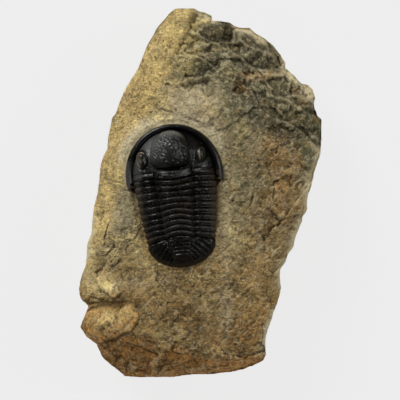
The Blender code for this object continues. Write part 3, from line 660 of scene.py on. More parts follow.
# Flats and patches of the upper surface: corners, sink, slope across and up, tone, rust.
SLABS = {
    "tip_break": ([(-1.4, 31.6), (1.9, 31.0), (2.1, 29.9), (-0.6, 28.4), (-2.4, 29.6)], 0.25, (0.15, -0.25),
        0.75, 0.0),
    "upper_dark": ([(-1.5, 27.3), (0.3, 28.9), (1.9, 30.0), (4.0, 29.8), (6.0, 28.9), (5.4, 26.8),
        (3.6, 26.6), (0.9, 26.4)], 0.3, (-0.3, 0.45), -0.6, 0.0),
    "upper_band": ([(-3.4, 24.2), (-2.0, 26.0), (-0.7, 26.5), (3.7, 26.7), (6.5, 26.5), (5.1, 25.0),
        (0.7, 24.7), (-0.9, 23.8)], 0.0, (0.1, -0.28), 0.0, 0.1),
    "middle_dark": ([(-2.9, 23.0), (-0.4, 23.7), (1.6, 23.2), (4.2, 24.4), (3.8, 23.3), (2.5, 21.9),
        (0.4, 20.4), (-3.0, 20.2)], 0.3, (-0.1, 0.42), -0.55, 0.0),
    "corner_dark": ([(6.4, 28.5), (8.4, 28.7), (10.9, 27.0), (13.8, 24.2), (14.5, 22.6), (12.1, 21.6),
        (8.6, 22.0), (7.3, 23.7), (6.3, 26.0)], 0.25, (-0.34, 0.2), -0.55, 0.0),
    "grey_flat": ([(2.6, 23.0), (5.0, 23.8), (7.1, 23.2), (7.8, 21.3), (6.0, 19.9), (3.0, 19.9)], 0.1,
        (0.05, -0.16), 0.15, 0.0),
    "orange_ledge": ([(7.3, 21.3), (10.7, 21.0), (14.2, 21.7), (14.6, 20.6), (10.7, 19.3), (7.9, 19.7)],
        -0.1, (0.12, -0.45), 0.4, 0.55),
    "pale_corner": ([(14.7, 21.9), (15.6, 21.0), (17.5, 19.1), (16.6, 17.8), (14.9, 18.8), (14.2, 20.3)],
        -0.1, (0.3, -0.25), 0.75, 0.0),
    "rust_hollow": ([(5.6, 19.9), (7.9, 19.4), (8.3, 17.7), (6.6, 16.9), (5.3, 18.1)], 0.3, (-0.25, 0.2),
        -0.4, 0.4),
    "pale_face": ([(-6.1, 18.8), (-4.4, 19.4), (0.7, 19.2), (3.9, 18.8), (4.6, 16.3), (2.5, 13.2),
        (0.7, 12.0), (-1.9, 13.2), (-6.1, 14.4)], 0.0, (0.03, -0.07), 0.45, 0.0),
    "right_dark": ([(7.2, 17.2), (14.7, 18.4), (15.5, 16.2), (17.2, 13.8), (19.0, 10.0), (15.6, 9.3),
        (10.7, 9.7), (7.4, 12.0)], 0.1, (-0.03, 0.05), -0.4, 0.0),
    "right_lobe": ([(15.6, 18.8), (18.6, 18.8), (19.7, 16.7), (19.4, 14.6), (17.3, 14.8), (15.6, 16.3)],
        -0.1, (0.18, -0.25), 0.0, 0.2),
    "right_nose": ([(17.4, 14.2), (20.4, 13.0), (21.0, 9.3), (20.4, 5.8), (18.6, 7.4), (17.9, 11.1)], 0.0,
        (0.05, -0.04), 0.0, 0.0),
    "right_step": ([(12.6, 2.4), (16.0, 3.2), (18.3, 0.6), (17.6, -3.6), (14.6, -4.4), (12.4, -1.4)], 0.0,
        (0.18, -0.12), 0.1, 0.35),
    "right_hollow": ([(9.2, 0.8), (12.2, 1.8), (12.0, -2.2), (13.6, -5.2), (11.0, -8.0), (8.4, -5.0)], 0.25,
        (-0.16, 0.14), -0.3, 0.2),
    "corner_flat": ([(-20.6, -20.8), (-18.6, -19.4), (-12.2, -19.4), (-10.6, -21.8), (-13.8, -24.6),
        (-17.0, -26.0), (-19.6, -24.8)], 0.0, (0.12, -0.1), 0.85, 0.6),
    "corner_knob": ([(-21.2, -16.8), (-20.0, -12.6), (-16.8, -13.2), (-15.0, -16.2), (-15.8, -18.0),
        (-19.8, -18.6)], -0.15, (0.06, 0.05), 0.25, 0.1),
    "cream_edge": ([(-18.4, -13.9), (-17.0, -13.2), (-15.6, -15.2), (-13.6, -17.2), (-15.2, -18.0),
        (-17.0, -16.4)], -0.15, (0.06, -0.28), 1.3, 0.1),
    "foot_left": ([(-17.8, -26.4), (-14.2, -23.8), (-7.2, -25.0), (-3.6, -25.6), (-6.4, -29.0),
        (-11.0, -31.6)], 0.2, (0.0, 0.0), -0.15, 0.3),
    "foot_right": ([(4.2, -21.6), (10.8, -22.4), (11.0, -28.0), (6.0, -28.6), (4.0, -27.0)], 0.15,
        (-0.1, 0.12), -0.25, 0.3),
    "lower_dull": ([(-10.8, -18.6), (-5.0, -17.6), (0.4, -20.6), (2.4, -25.2), (-1.6, -27.4), (-6.4, -25.2),
        (-10.4, -22.6)], 0.0, (0.0, 0.0), -0.35, 0.0),
    "pale_band": ([(5.4, -15.0), (6.8, -16.0), (3.4, -22.8), (-1.6, -28.0), (-4.6, -27.4), (0.6, -22.0)],
        -0.1, (-0.1, 0.02), -0.2, 0.0),
    "grey_smudge": ([(-12.8, -13.8), (-8.4, -14.2), (-7.6, -17.6), (-10.6, -20.0), (-13.2, -18.4)], 0.1,
        (-0.06, 0.06), 0.0, 0.0),
    "tail_lump": ([(-8.0, -12.2), (1.6, -12.4), (3.0, -15.0), (-1.0, -16.8), (-7.4, -16.2)], 0.1,
        (0.05, -0.06), -0.4, 0.25),
    "left_slab": ([(-16.6, -4.2), (-14.2, -3.2), (-12.2, -5.2), (-12.9, -9.2), (-15.4, -12.0),
        (-17.4, -10.8)], 0.1, (-0.06, 0.08), 0.3, 0.0),
}
# The gap above the corner block, cut in and darkened with painted shade.
CREVICE = [(-20.2, -18.6), (-18.4, -18.2), (-17.0, -18.4)]
# Cracks: points, width, depth.
CRACKS = {
    "long_crack": ([(-10.4, -6.0), (-11.4, -7.6), (-12.6, -8.9), (-13.3, -11.1), (-15.2, -12.7)], 0.09,
        0.3),
    "upper_slit": ([(-15.9, -5.5), (-16.4, -7.0), (-16.9, -8.9)], 0.16, 0.4),
    "lower_slit": ([(-15.0, -9.2), (-16.0, -10.4), (-17.0, -11.3)], 0.18, 0.4),
    "slot": ([(6.7, 14.0), (6.5, 12.6)], 0.2, 0.6),
    "star": ([(11.6, -16.4), (11.9, -17.8), (12.2, -19.2)], 0.1, 0.2),
    "diagonal": ([(2.0, 21.1), (3.8, 22.7), (4.8, 23.5), (6.9, 23.3), (7.5, 21.8)], 0.16, 0.45),
    "rusty": ([(4.8, 17.6), (6.6, 18.5), (7.3, 19.4), (7.5, 20.9)], 0.2, 0.4),
}
# Sharp ridges of the broken upper right and of the foot, with their height.
RIDGES = (
    (((-1.3, 27.7), (2.0, 29.9), (2.6, 30.2)), 0.35),
    (((-2.8, 24.9), (-0.4, 25.5), (2.0, 26.4), (4.8, 26.7), (6.6, 26.7), (9.5, 25.2)), 0.45),
    (((-2.6, 23.8), (1.1, 24.0), (2.6, 24.4), (4.2, 24.2), (6.4, 24.0), (7.9, 23.8), (9.6, 25.1)), 0.4),
    (((-4.6, 19.0), (-1.9, 19.4), (0.3, 20.1), (2.0, 20.3), (3.8, 21.8), (4.8, 23.2)), 0.4),
    (((7.5, 20.3), (9.9, 20.5), (12.3, 20.4), (14.7, 20.6), (16.5, 19.4)), 0.35),
    (((9.9, 19.0), (12.1, 17.0), (13.8, 16.3), (16.0, 17.0), (19.5, 15.9)), 0.3),
    (((6.4, 28.4), (7.6, 26.2), (7.9, 23.8)), 0.25),
    (((-8.4, -29.6), (-6.5, -27.4), (-4.6, -25.7), (-3.0, -24.2)), 0.3),
)
# Pits: place, radius, depth.
PITS = (
    (5.5, -1.3, 0.22, 0.5), (-14.6, -21.6, 0.3, 0.4), (-15.9, -22.8, 0.28, 0.35), (3.2, -11.9, 0.2, 0.3),
    (2.9, -5.0, 0.2, 0.3), (-2.2, -17.2, 0.22, 0.3), (-11.2, -19.6, 0.3, 0.3),
)
# Tool marks, in three groups.
SCRATCHES = [[(-7.4 + 0.55 * i, -13.2 - 0.1 * i), (-7.5 + 0.55 * i, -15.6 + 0.15 * i)] for i in range(5)]
SCRATCHES += [[(2.4 + 1.1 * i, -18.4 - 0.9 * i), (-0.2 + 1.3 * i, -26.0 - 0.2 * i)] for i in range(4)]
SCRATCHES += [[(4.6 + 0.7 * i, 5.2 - 1.2 * i), (9.4 + 0.3 * i, 2.6 - 1.7 * i)] for i in range(6)]
# Soft patches of colour: place, half lengths, strength.
STAINS = {
    "rust": (
        (12.6, 7.4, 2.6, 3.6, 0.9), (14.2, 3.2, 1.6, 2.4, 1.0), (7.3, 18.4, 0.9, 1.4, 0.5),
        (16.6, 6.6, 1.0, 2.2, 0.6), (13.5, -3.6, 3.2, 4.2, 0.6), (17.0, 4.9, 0.6, 0.6, 1.0),
        (10.8, -22.0, 1.8, 4.6, 0.7), (5.0, -24.5, 6.0, 3.0, 0.8), (-15.2, -20.6, 4.6, 3.6, 1.4),
        (17.2, 18.0, 1.2, 1.4, 0.5), (-11.0, 12.0, 5.0, 9.0, 0.3), (9.0, -12.0, 5.0, 5.0, 0.3),
        (-3.0, -21.0, 4.0, 3.5, 0.45), (-1.0, -13.0, 3.0, 1.6, 0.4), (8.0, 20.6, 3.0, 0.7, 0.5),
    ),
    "pale": (
        (-15.4, -15.9, 1.1, 1.2, 0.8), (-15.9, -9.8, 1.2, 1.8, 0.5), (4.4, -19.5, 1.2, 4.5, 0.6),
        (-2.0, 16.4, 4.2, 2.6, 0.9), (-8.0, 12.0, 2.6, 1.2, 0.7), (-12.6, 5.0, 1.0, 5.0, 0.5),
        (2.0, 12.0, 3.0, 2.0, 0.5), (4.6, -6.0, 1.6, 7.0, 0.55), (-13.5, -4.0, 1.6, 5.0, 0.45),
        (-10.5, -15.5, 3.0, 1.6, 0.4), (-17.6, -15.5, 2.6, 2.0, 0.4), (-15.4, -21.8, 2.4, 1.6, 0.2),
        (18.6, 17.4, 1.4, 1.2, 0.5), (9.0, 9.0, 1.2, 5.0, 0.3),
    ),
    "straw": (
        (-15.9, -15.6, 1.3, 1.3, 0.8), (-15.6, -10.4, 1.6, 1.4, 0.5), (-18.9, -16.4, 1.2, 1.6, 0.4),
        (-17.4, -22.4, 2.2, 2.6, 0.35), (-13.4, -20.4, 2.2, 1.2, 0.4), (-1.8, 26.0, 2.0, 2.6, 1.0),
        (0.6, 30.4, 1.2, 1.0, 0.7), (5.2, -6.2, 1.0, 1.6, 0.7), (-6.6, 15.6, 1.2, 2.0, 0.5),
        (-20.0, -9.0, 0.8, 3.0, 0.5), (-16.8, -16.0, 1.4, 1.6, 0.6), (-13.8, -7.8, 2.4, 0.6, 0.8),
        (-11.4, -9.8, 0.8, 1.4, 0.8), (-2.6, 22.6, 1.6, 2.8, 1.0), (-1.2, 28.8, 1.0, 2.4, 0.5),
        (-4.4, 19.2, 2.0, 0.5, 0.9), (-7.4, 13.2, 2.2, 0.7, 0.9), (6.9, 11.0, 1.0, 1.8, 0.6),
        (7.4, -8.2, 1.6, 1.2, 0.7), (-1.0, -14.4, 2.6, 0.7, 0.7), (9.6, -28.3, 1.6, 0.3, 0.4),
        (-7.2, -26.4, 0.7, 2.4, 0.6), (-14.2, 2.6, 0.7, 2.0, 0.8), (-9.0, -12.4, 2.4, 0.6, 0.5),
        (-15.8, -22.0, 2.6, 1.6, 0.3), (0.4, -17.6, 1.0, 1.6, 0.4),
    ),
    "olive": (
        (-1.5, -17.0, 3.4, 2.8, 0.5), (5.5, 15.5, 3.0, 3.0, 0.9), (6.5, 10.0, 2.6, 3.0, 0.9),
        (3.4, 21.0, 2.6, 2.0, 0.5), (-13.2, -3.6, 1.8, 4.2, 0.9), (-15.6, -11.4, 1.8, 1.6, 0.2),
        (-5.0, -19.0, 3.2, 2.0, 0.5), (4.0, 2.0, 2.0, 4.0, 0.4),
    ),
}
# Stretches of the rim lightened with a painted highlight, where the light catches the edge.
LIT_EDGES = (
    ((6.4, 28.9), (9.4, 28.0), (12.2, 26.0), (14.6, 22.6)), ((19.6, 16.6), (18.6, 18.8), (17.0, 19.4)),
    ((20.3, 7.6), (20.3, 5.2), (19.3, 3.0)), ((18.8, 3.2), (18.5, -2.9)), ((17.4, -5.0), (16.0, -8.6),
    (15.6, -10.2)), ((14.2, -12.0), (13.7, -16.0)), ((12.6, -20.4), (11.3, -24.2), (11.1, -27.5)),
    ((1.8, 31.0), (-0.6, 31.8)), ((-18.9, -4.5), (-19.6, -8.5), (-20.0, -11.5)), ((14.8, 21.6),
    (17.0, 19.4)),
)
# Soft lighter and darker areas: place, half lengths, change of tone.
TONES = (
    (0.0, 27.2, 4.0, 4.0, 0.28), (6.5, 19.6, 3.6, 3.4, -0.22), (8.6, -13.2, 1.9, 1.9, -0.3),
    (-9.0, -13.2, 5.0, 1.7, -0.15), (3.2, -27.2, 3.4, 1.8, -0.25), (-16.0, -20.4, 1.8, 1.8, 0.15),
)
# Steps of the broken upper right: distance from its edge, depth.
BROKEN_STEPS = ((0.4, 0.55), (5.0, 0.75), (8.8, 0.8), (13.0, 0.6))
WARP = 0.5
BEDDING = math.radians(24.0)
STREAKS = math.radians(52.0)
# Chips of the broken, right and foot parts: height and size of the coarse and the fine ones, seed.
CHIPS = ((0.4, 4.6, 0.15, 2.3, 1.0), (0.3, 5.0, 0.18, 2.4, 3.0), (0.35, 4.0, 0.18, 2.0, 5.0))
CHIP_CRISPNESS = 11.0


def zones(x, y):
    """Shares of the broken, rough right, foot and weathered parts of the upper surface."""
    broken = smooth_step((face_reach(x, y, "broken_upper_right") + 0.5) / 3.0)
    broken *= smooth_step((8.0 - face_reach(x, y, "weathered_left_upper") * 6.0) / 8.0)
    right = smooth_step((face_reach(x, y, "stained_right") + 2.0) / 5.0) * (1.0 - broken)
    foot = smooth_step((face_reach(x, y, "dark_lower_left") + 0.5) / 2.0)
    upper = smooth_step((face_reach(x, y, "weathered_left_upper") + 0.3) / 1.2)
    lower = smooth_step((face_reach(x, y, "weathered_left_lower") + 1.0) / 2.4)
    return broken, right, foot, clamp(upper + lower) * (1.0 - foot)


def warped(x, y):
    """Places shifted a little, so that edges drawn with straight lines come out ragged."""
    return x + WARP * fractal(x, y, 2.2, 301, 4, 0.6), y + WARP * fractal(x, y, 2.2, 311, 4, 0.6)


def stains(x, y, patches):
    """Sum of soft oval patches over the stone."""
    total = np.zeros(x.shape)
    for middle_x, middle_y, half_x, half_y, share in patches:
        total += share * oval(x, y, middle_x, middle_y, half_x, half_y)
    return total


def crack_share(x, y):
    """Where the cracks stand open, from 0 to 1."""
    return smooth_step(0.75 + fractal(x, y, 1.1, 45, 2))


def with_grain(height, x, y, wx, wy):
    """The face with its chips, lumps and grain, sharpest where the stone is freshly broken."""
    broken, right, foot, weathered = zones(x, y)
    along, over = turned(wx, wy, BEDDING)
    sharp = clamp(0.45 + 0.55 * broken + 0.25 * right + 0.3 * foot - 0.25 * weathered)
    plates = 1.9 * facets(along * 0.8, over, 6.4, 12) + 0.30 * fractal(wx, wy, 2.6, 17, 3)
    height += sharp * 0.50 * ledges(plates + 0.5)
    height += sharp * 0.60 * facets(along * 0.75 + 0.2 * over, over - 0.3 * along, 3.8, 13)
    height += sharp * 0.26 * facets(along - 0.3 * over, over + 0.3 * along, 1.7, 14)
    height += sharp * 0.07 * fractal(x, y, 0.8, 18, 2)
    height += (0.10 + 0.06 * weathered) * fractal(x, y, 1.5, 21, 3)
    leaning, across = turned(x, y, STREAKS)
    height += 0.16 * chipped(leaning * 0.4, across, 0.75, 15.0, 26.0) * (1.0 - 0.6 * broken)
    height += 0.42 * chipped(leaning * 0.6, across, 2.4, 16.0, 30.0) * (1.0 - 0.5 * broken - 0.4 * weathered)
    return height


def block_height(x, y, rim_gap):
    """Height of the block's upper surface over arrays of points of its plan."""
    height = FACE_HEIGHT - 0.02 * x + 0.45 * waves(x, y, 0.09, 3.1) + 0.16 * waves(x, y, 0.35, 8.7)
    for name, (_edge, _downhill, slope, drop, soft) in FACES.items():
        reach = face_reach(x, y, name)
        face = FACE_HEIGHT - drop * smooth_step(reach / 0.6) - math.tan(math.radians(slope)) * reach
        face += 0.5 * waves(x, y, 0.14, 11.0 + slope)
        height = soft_min(height, face, soft * 2.0)

    broken, right, foot, _weathered = zones(x, y)
    reach = face_reach(x, y, "broken_upper_right") + 1.2 * waves(x, y, 0.22, 5.5)
    for crest, depth in BROKEN_STEPS:
        height -= depth * smooth_step((reach - crest) / 0.35) * broken
    for (coarse, coarse_size, fine, fine_size, seed), share in zip(CHIPS, (broken, right, foot)):
        chips = coarse * chipped(x, y, coarse_size, seed, CHIP_CRISPNESS)
        height += (chips + fine * chipped(x, y, fine_size, seed + 1.0, CHIP_CRISPNESS)) * share

    # The corner block lies a millimetre lower.
    height -= smooth_step((-18.3 - y + 0.06 * (x + 14.0)) / 0.5) * smooth_step((-11.5 - x) / 3.0)

    wx, wy = warped(x, y)
    for corners, sink, (across, up), _tone, _rust in SLABS.values():
        middle = np.mean(corners, axis=0)
        inside = smooth_step(0.5 - polygon_gap(wx, wy, corners) / 0.28)
        height += inside * (across * (x - middle[0]) + up * (y - middle[1]) - sink)
    height -= 0.45 * bell(line_gap(wx, wy, CREVICE), 0.22)

    height = with_grain(height, x, y, wx, wy)
    for points, lift in RIDGES:
        height += 1.5 * lift * clamp(1.0 - line_gap(wx, wy, points) / 0.8)

    open_share = crack_share(x, y)
    for points, width, depth in CRACKS.values():
        height -= depth * bell(line_gap(wx, wy, points), width) * open_share
    for points in SCRATCHES:
        height -= 0.06 * bell(line_gap(wx, wy, points), 0.16)
    for px, py, radius, depth in PITS:
        height -= depth * bell(np.hypot(x - px, y - py), radius)

    # Beside the animal the stone comes up to the face and ends in a low lip.
    outside = distance_outside(*to_animal(x, y))
    collar = FACE_HEIGHT - 0.75 * np.maximum(0.0, outside - 0.8)
    height = soft_max(height, collar, 0.5)
    near = smooth_step(1.0 - (outside - 0.1) / 0.9)
    lip = FACE_HEIGHT + 0.1 + 0.12 * fractal(x, y, 0.9, 41, 3)
    height = mix(height, lip, near)
    return height - EDGE_WEAR * np.exp(-rim_gap / EDGE_WEAR_REACH)


def spread(values, steps):
    """Values of the polar grid smoothed over their neighbours."""
    for _step in range(steps):
        ahead = np.roll(values, 1, axis=1)
        behind = np.roll(values, -1, axis=1)
        values = (ahead + behind + 2.0 * values) / 4.0
        padded = np.pad(values, ((1, 1), (0, 0)), mode="edge")
        values = (padded[:-2] + padded[2:] + 2.0 * values) / 4.0
    return values


def rim_points():
    """The block's outline as evenly spaced points, one for each column of its mesh."""
    corners = np.array(OUTLINE[::-1] + [OUTLINE[-1]])
    steps = np.hypot(*np.diff(corners, axis=0).T)
    distance = np.concatenate([[0.0], np.cumsum(steps)])
    places = np.linspace(0.0, distance[-1], BLOCK_COLUMNS + 1)
    x = np.interp(places, distance, corners[:, 0])
    y = np.interp(places, distance, corners[:, 1])
    ragged = 0.10 * waves(x, y, 1.3, 51.0) + 0.05 * waves(x, y, 3.0, 52.0)
    ragged -= 0.12 - 0.4 * smooth_step((-27.0 - y) / 2.0) - 0.4 * smooth_step((0.8 * x + y - 12.0) / 8.0)
    away = np.hypot(x - BLOCK_CENTRE[0], y - BLOCK_CENTRE[1])
    x += ragged * (x - BLOCK_CENTRE[0]) / away
    y += ragged * (y - BLOCK_CENTRE[1]) / away
    return x, y, places


def inner_reach(direction):
    """Distance from the block's centre to just inside the animal's outline, in each direction."""
    ring = np.array(animal_outline(-HIDDEN_MARGIN))
    spots = to_block(ring[:, 0], ring[:, 1], np.zeros(len(ring)))[:, :2] - np.array(BLOCK_CENTRE)
    angle = np.arctan2(spots[:, 1], spots[:, 0])
    reach = np.hypot(spots[:, 0], spots[:, 1])
    order = np.argsort(angle)
    return np.interp(direction, angle[order], reach[order], period=2.0 * math.pi)


def pale_stone_and_highlights(x, y, wx, wy, relief):
    """Cream on streaks, smears and scratches, and painted highlight on crests, ridges and the lip round the
    head.
    """
    u, v = to_animal(x, y)
    outside = distance_outside(u, v)
    crest = clamp((relief - 0.03) / 0.07)
    along, over = turned(wx, wy, STREAKS)
    lines = smooth_step(1.0 - 11.0 * np.abs(ripple(along * 0.45, over, 1.1, 91)))
    lines *= smooth_step((ripple(x, y, 1.0, 92) - 0.12) / 0.2)
    smears = smooth_step((fractal(along * 0.6, over, 1.3, 95, 3) - 0.62) / 0.3)
    scratched = lines_gap(wx, wy, SCRATCHES)
    ridged = lines_gap(wx, wy, [points for points, _lift in RIDGES])
    # Painted highlight along the ridges, let through in random patches.
    ridge_highlight_share = smooth_step(0.55 + 0.9 * fractal(x, y, 1.6, 99, 3))
    # Painted highlight on the lip round the head, strongest at its front and left.
    lip_highlight = bell(outside - 0.15, 0.22) * smooth_step((v + 3.0) / 4.0)
    lip_highlight *= 0.4 + 0.6 * smooth_step((3.5 - u) / 7.0)
    # Painted highlight on the crests of the relief.
    highlit = crest * smooth_step(fractal(x, y, 1.3, 93, 3) + 0.2)
    return np.maximum.reduce([0.8 * lines, 0.7 * smears, highlit, 0.4 * bell(scratched, 0.16),
                              bell(ridged, 0.22) * ridge_highlight_share, 1.17 * lip_highlight])


def painted_stone_shade(x, y, wx, wy, relief):
    """Painted shade in hollows, cracks and pits; the split above the corner block gets less of it."""
    hollow = clamp((-relief - 0.02) / 0.09)
    dark = np.maximum(0.75 * hollow ** 1.3, 0.5 * bell(line_gap(wx, wy, CREVICE), 0.16))
    open_share = crack_share(x, y)
    for points, width, _depth in CRACKS.values():
        dark = np.maximum(dark, bell(line_gap(wx, wy, points), width * 1.3) * open_share)
    dark *= 1.0 - 0.6 * oval(x, y, -16.5, -18.5, 4.5, 1.4)
    for px, py, radius, _depth in PITS:
        dark = np.maximum(dark, bell(np.hypot(x - px, y - py), radius * 1.4))
    return dark


def block_masks(x, y, relief):
    """Where each colour of the stone shows, as shares between 0 and 1, and the tone from -1 to 1."""
    wx, wy = warped(x, y)
    wander = 0.9 * fractal(x, y, 3.0, 61, 3)
    upper = face_reach(x, y, "weathered_left_upper")
    lower = face_reach(x, y, "weathered_left_lower")
    tan = smooth_step((upper + wander * 0.8 + 0.5) / 1.3) * smooth_step((y + 2.0) / 4.0)
    tan = np.maximum(tan, smooth_step((lower + wander + 1.3) / 2.6))
    tan *= mix(0.55, 1.0, smooth_step((y + 13.0) / 10.0)) * smooth_step((y + 18.0) / 2.0)
    olive = smooth_step((face_reach(x, y, "broken_upper_right") + wander + 1.0) / 3.0)
    olive = np.maximum(olive, 0.55 * oval(x, y, 8.0, 6.0, 5.0, 8.0)) * (1.0 - tan)
    rust = stains(wx, wy, STAINS["rust"])
    olive = np.maximum(olive, stains(wx, wy, STAINS["olive"]))
    tone = 0.30 * fractal(x, y, 3.4, 65, 5, 0.75)
    for corners, _sink, _slope, shade, stain in SLABS.values():
        inside = smooth_step(0.5 - polygon_gap(wx, wy, corners) / 0.5)
        tone = mix(tone, shade + 0.8 * tone, inside)
        rust += stain * inside
    tone = tone + stains(wx, wy, TONES)
    rust = clamp(rust * (0.8 + 0.7 * fractal(x, y, 1.2, 63, 3)))
    foot = smooth_step((face_reach(x, y, "dark_lower_left") + 0.3 + 0.5 * wander) / 1.4)
    foot *= smooth_step((1.5 - x) / 4.0)
    foot = np.maximum(foot, smooth_step(face_reach(x, y, "bedded_foot") + 0.4 + 0.4 * wander))

    lit = lines_gap(wx, wy, LIT_EDGES)
    u, v = to_animal(x, y)
    outside = distance_outside(u, v)
    tone = tone + 0.4 * bell(outside - 0.6, 1.2) * smooth_step((v - 6.0) / 3.0)
    pale = stains(wx, wy, STAINS["pale"]) + 1.2 * bell(outside - 0.6, 1.4) * smooth_step((v - 1.0) / 4.0)
    # Dark film along the shell's flanks, which also serves as the painted shadow beside it, weaker on the
    # left side.
    film = bell(outside, 0.6 + 0.35 * np.clip(fractal(x, y, 1.1, 97, 3), -1.0, 1.0)) * smooth_step(-1.6 - v)
    film *= smooth_step((v + 11.5) / 5.0) * mix(0.45, 1.0, smooth_step((u + 2.0) / 4.0))
    # The cream mask holds pale streaks and painted highlights, the dark mask painted shade, the film mask
    # painted shadow as well.
    return {"tan": tan, "olive": olive, "rust": rust, "foot": foot, "tone": np.clip(tone, -1.0, 1.0),
            "cream": np.maximum(pale_stone_and_highlights(x, y, wx, wy, relief), 1.5 * bell(lit, 0.5)),
            "worn": bell(lit, 0.8), "dark": painted_stone_shade(x, y, wx, wy, relief), "film": film,
            "pale": clamp(pale), "straw": clamp(stains(wx, wy, STAINS["straw"])),
            "warm": smooth_step((-5.0 - y + wander) / 12.0)}


# ---- meshes

def grid_mesh(columns, rows):
    """A bmesh grid, with each point's column and row."""
    bm = bmesh.new()
    bmesh.ops.create_grid(bm, x_segments=columns, y_segments=rows, size=0.5)
    spots = np.array([vert.co[:] for vert in bm.verts])
    column = np.rint((spots[:, 0] + 0.5) * columns).astype(int)
    row = np.rint((spots[:, 1] + 0.5) * rows).astype(int)
    return bm, column, row


def place_points(bm, spots, masks):
    """Move the grid's points to their places in millimetres and store their masks."""
    spots[:, 2] = np.minimum(spots[:, 2], CAD_HIGH[2])
    layers = {name: bm.verts.layers.float.new(name) for name in masks}
    for index, vert in enumerate(bm.verts):
        vert.co = spots[index] * MM
        for name, layer in layers.items():
            vert[layer] = masks[name][index]


def open_edges(bm):
    return [edge for edge in bm.edges if edge.is_boundary]


def carry_rim(bm, level):
    """Carry the open edge of a surface to a level."""
    for item in bmesh.ops.extrude_edge_only(bm, edges=open_edges(bm))["geom"]:
        if isinstance(item, bmesh.types.BMVert):
            item.co.z = level


def close_below(bm, level):
    """Carry the open edge of a surface down to a flat underside."""
    carry_rim(bm, level)
    bmesh.ops.edgeloop_fill(bm, edges=open_edges(bm))


def make_piece(name, bm, material, node, smooth_angle=60.0):
    """Turn a bmesh into a finished piece that rides on the object's body."""
    bmesh.ops.recalc_face_normals(bm, faces=bm.faces)
    mesh = bpy.data.meshes.new(name)
    bm.to_mesh(mesh)
    bm.free()
    mesh.shade_smooth()
    mesh.set_sharp_from_angle(angle=math.radians(smooth_angle))
    mesh.materials.append(material)
    piece = add_object(name, mesh)
    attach(piece, "root")
    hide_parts(node)


def block_sides(rim_level, places):
    """The sides, broken into flats and thin beds: share of the way down, level, depth behind the rim."""
    down = np.linspace(0.0, 1.0, SIDE_ROWS + 1)[1:, None]
    level = rim_level * (1.0 - down)
    heights, insets = np.array(SIDE_LEVELS).T
    inset = np.interp(level, heights, insets) - np.interp(rim_level, heights, insets)
    ring = np.broadcast_to(places[:-1], level.shape)
    fade = smooth_step(np.minimum(ring, places[-1] - ring) / 3.0)
    bent = ring + 2.4 * fractal(ring, level, 7.0, 71, 3)
    bed = level + 1.6 * fractal(ring, level, 8.0, 73, 3)
    depth = inset + SIDE_CHIPS * clamp(0.5 + chipped(ring, level * 1.4, 7.5, 21.0, CHIP_CRISPNESS) * fade)
    depth = depth * smooth_step(down / 0.35)
    fine = 0.55 * facets(bent * 0.6 + bed * 0.4, bed - bent * 0.25, 4.6, 27)
    fine += 0.5 * chipped(bent * 0.6 + bed * 0.5, bed * 0.9 - bent * 0.35, 4.2, 25.0, 16.0)
    fine += 0.28 * facets(bent * 0.7 - bed * 0.5, bed * 0.8 + bent * 0.4, 2.0, 28)
    fine += 0.10 * fractal(bent * 0.12, bed, 1.3, 79, 3, creased=True)
    depth += (fine + 0.22 * fractal(ring, level, 1.9, 75, 4)) * fade * smooth_step(down / 0.12)
    return down, level, np.maximum(depth, 0.0)


def make_block(material):
    """The block: rows run from the animal out to the rim, then down the sides."""
    bm, column, row = grid_mesh(BLOCK_COLUMNS, FACE_ROWS + SIDE_ROWS)
    rim_x, rim_y, places = rim_points()
    direction = np.arctan2(rim_y - BLOCK_CENTRE[1], rim_x - BLOCK_CENTRE[0])[:-1]
    outer = np.hypot(rim_x - BLOCK_CENTRE[0], rim_y - BLOCK_CENTRE[1])[:-1]
    outward = np.stack([np.cos(direction), np.sin(direction)])

    share = np.linspace(0.0, 1.0, FACE_ROWS + 1)[:, None]
    reach = mix(inner_reach(direction)[None, :], outer[None, :], share)
    x = BLOCK_CENTRE[0] + reach * outward[0]
    y = BLOCK_CENTRE[1] + reach * outward[1]
    rim_gap = line_gap(x, y, OUTLINE + [OUTLINE[0]])
    top = block_height(x, y, rim_gap)

    down, level, depth = block_sides(top[-1], places)
    x = np.concatenate([x, x[-1] - depth * outward[0]])
    y = np.concatenate([y, y[-1] - depth * outward[1]])
    z = np.concatenate([top, level])
    z[0] = FACE_HEIGHT - HIDDEN_SINK
    z[-1] = 0.0
    x = np.clip(x, CAD_LOW[0], CAD_HIGH[0])
    y = np.clip(y, CAD_LOW[1], CAD_HIGH[1])
    relief = z - spread(z, 3)
    relief[FACE_ROWS - 3:] = 0.0
    sides = slice(FACE_ROWS + 1, None)
    relief[sides] = 0.7 * (spread(np.concatenate([np.zeros_like(top), depth]), 6)[sides] - depth)
    masks = block_masks(x, y, relief)
    masks["cream"][sides] *= mix(1.0, 0.25, smooth_step(down / 0.25))
    # Painted highlight on the lit stretches of the rim: the stone there is paler and lighter, fading out down
    # the sides.
    worn = masks.pop("worn")
    worn[sides] *= 1.0 - smooth_step(down / 0.12)
    masks["pale"] = clamp(masks["pale"] + 0.8 * worn)
    masks["tone"] = np.clip(masks["tone"] + 0.5 * worn, -1.0, 1.0)
    column = column % BLOCK_COLUMNS
    spots = np.stack([x[row, column], y[row, column], z[row, column]], axis=-1)
    place_points(bm, spots, {name: values[row, column] for name, values in masks.items()})
    bmesh.ops.remove_doubles(bm, verts=[v for v in bm.verts if v.is_boundary], dist=MERGE_DISTANCE)
    bmesh.ops.holes_fill(bm, edges=open_edges(bm), sides=0)
    make_piece("limestone_block", bm, material, "matrix_rock", 75.0)


# ---- the plates of the shell

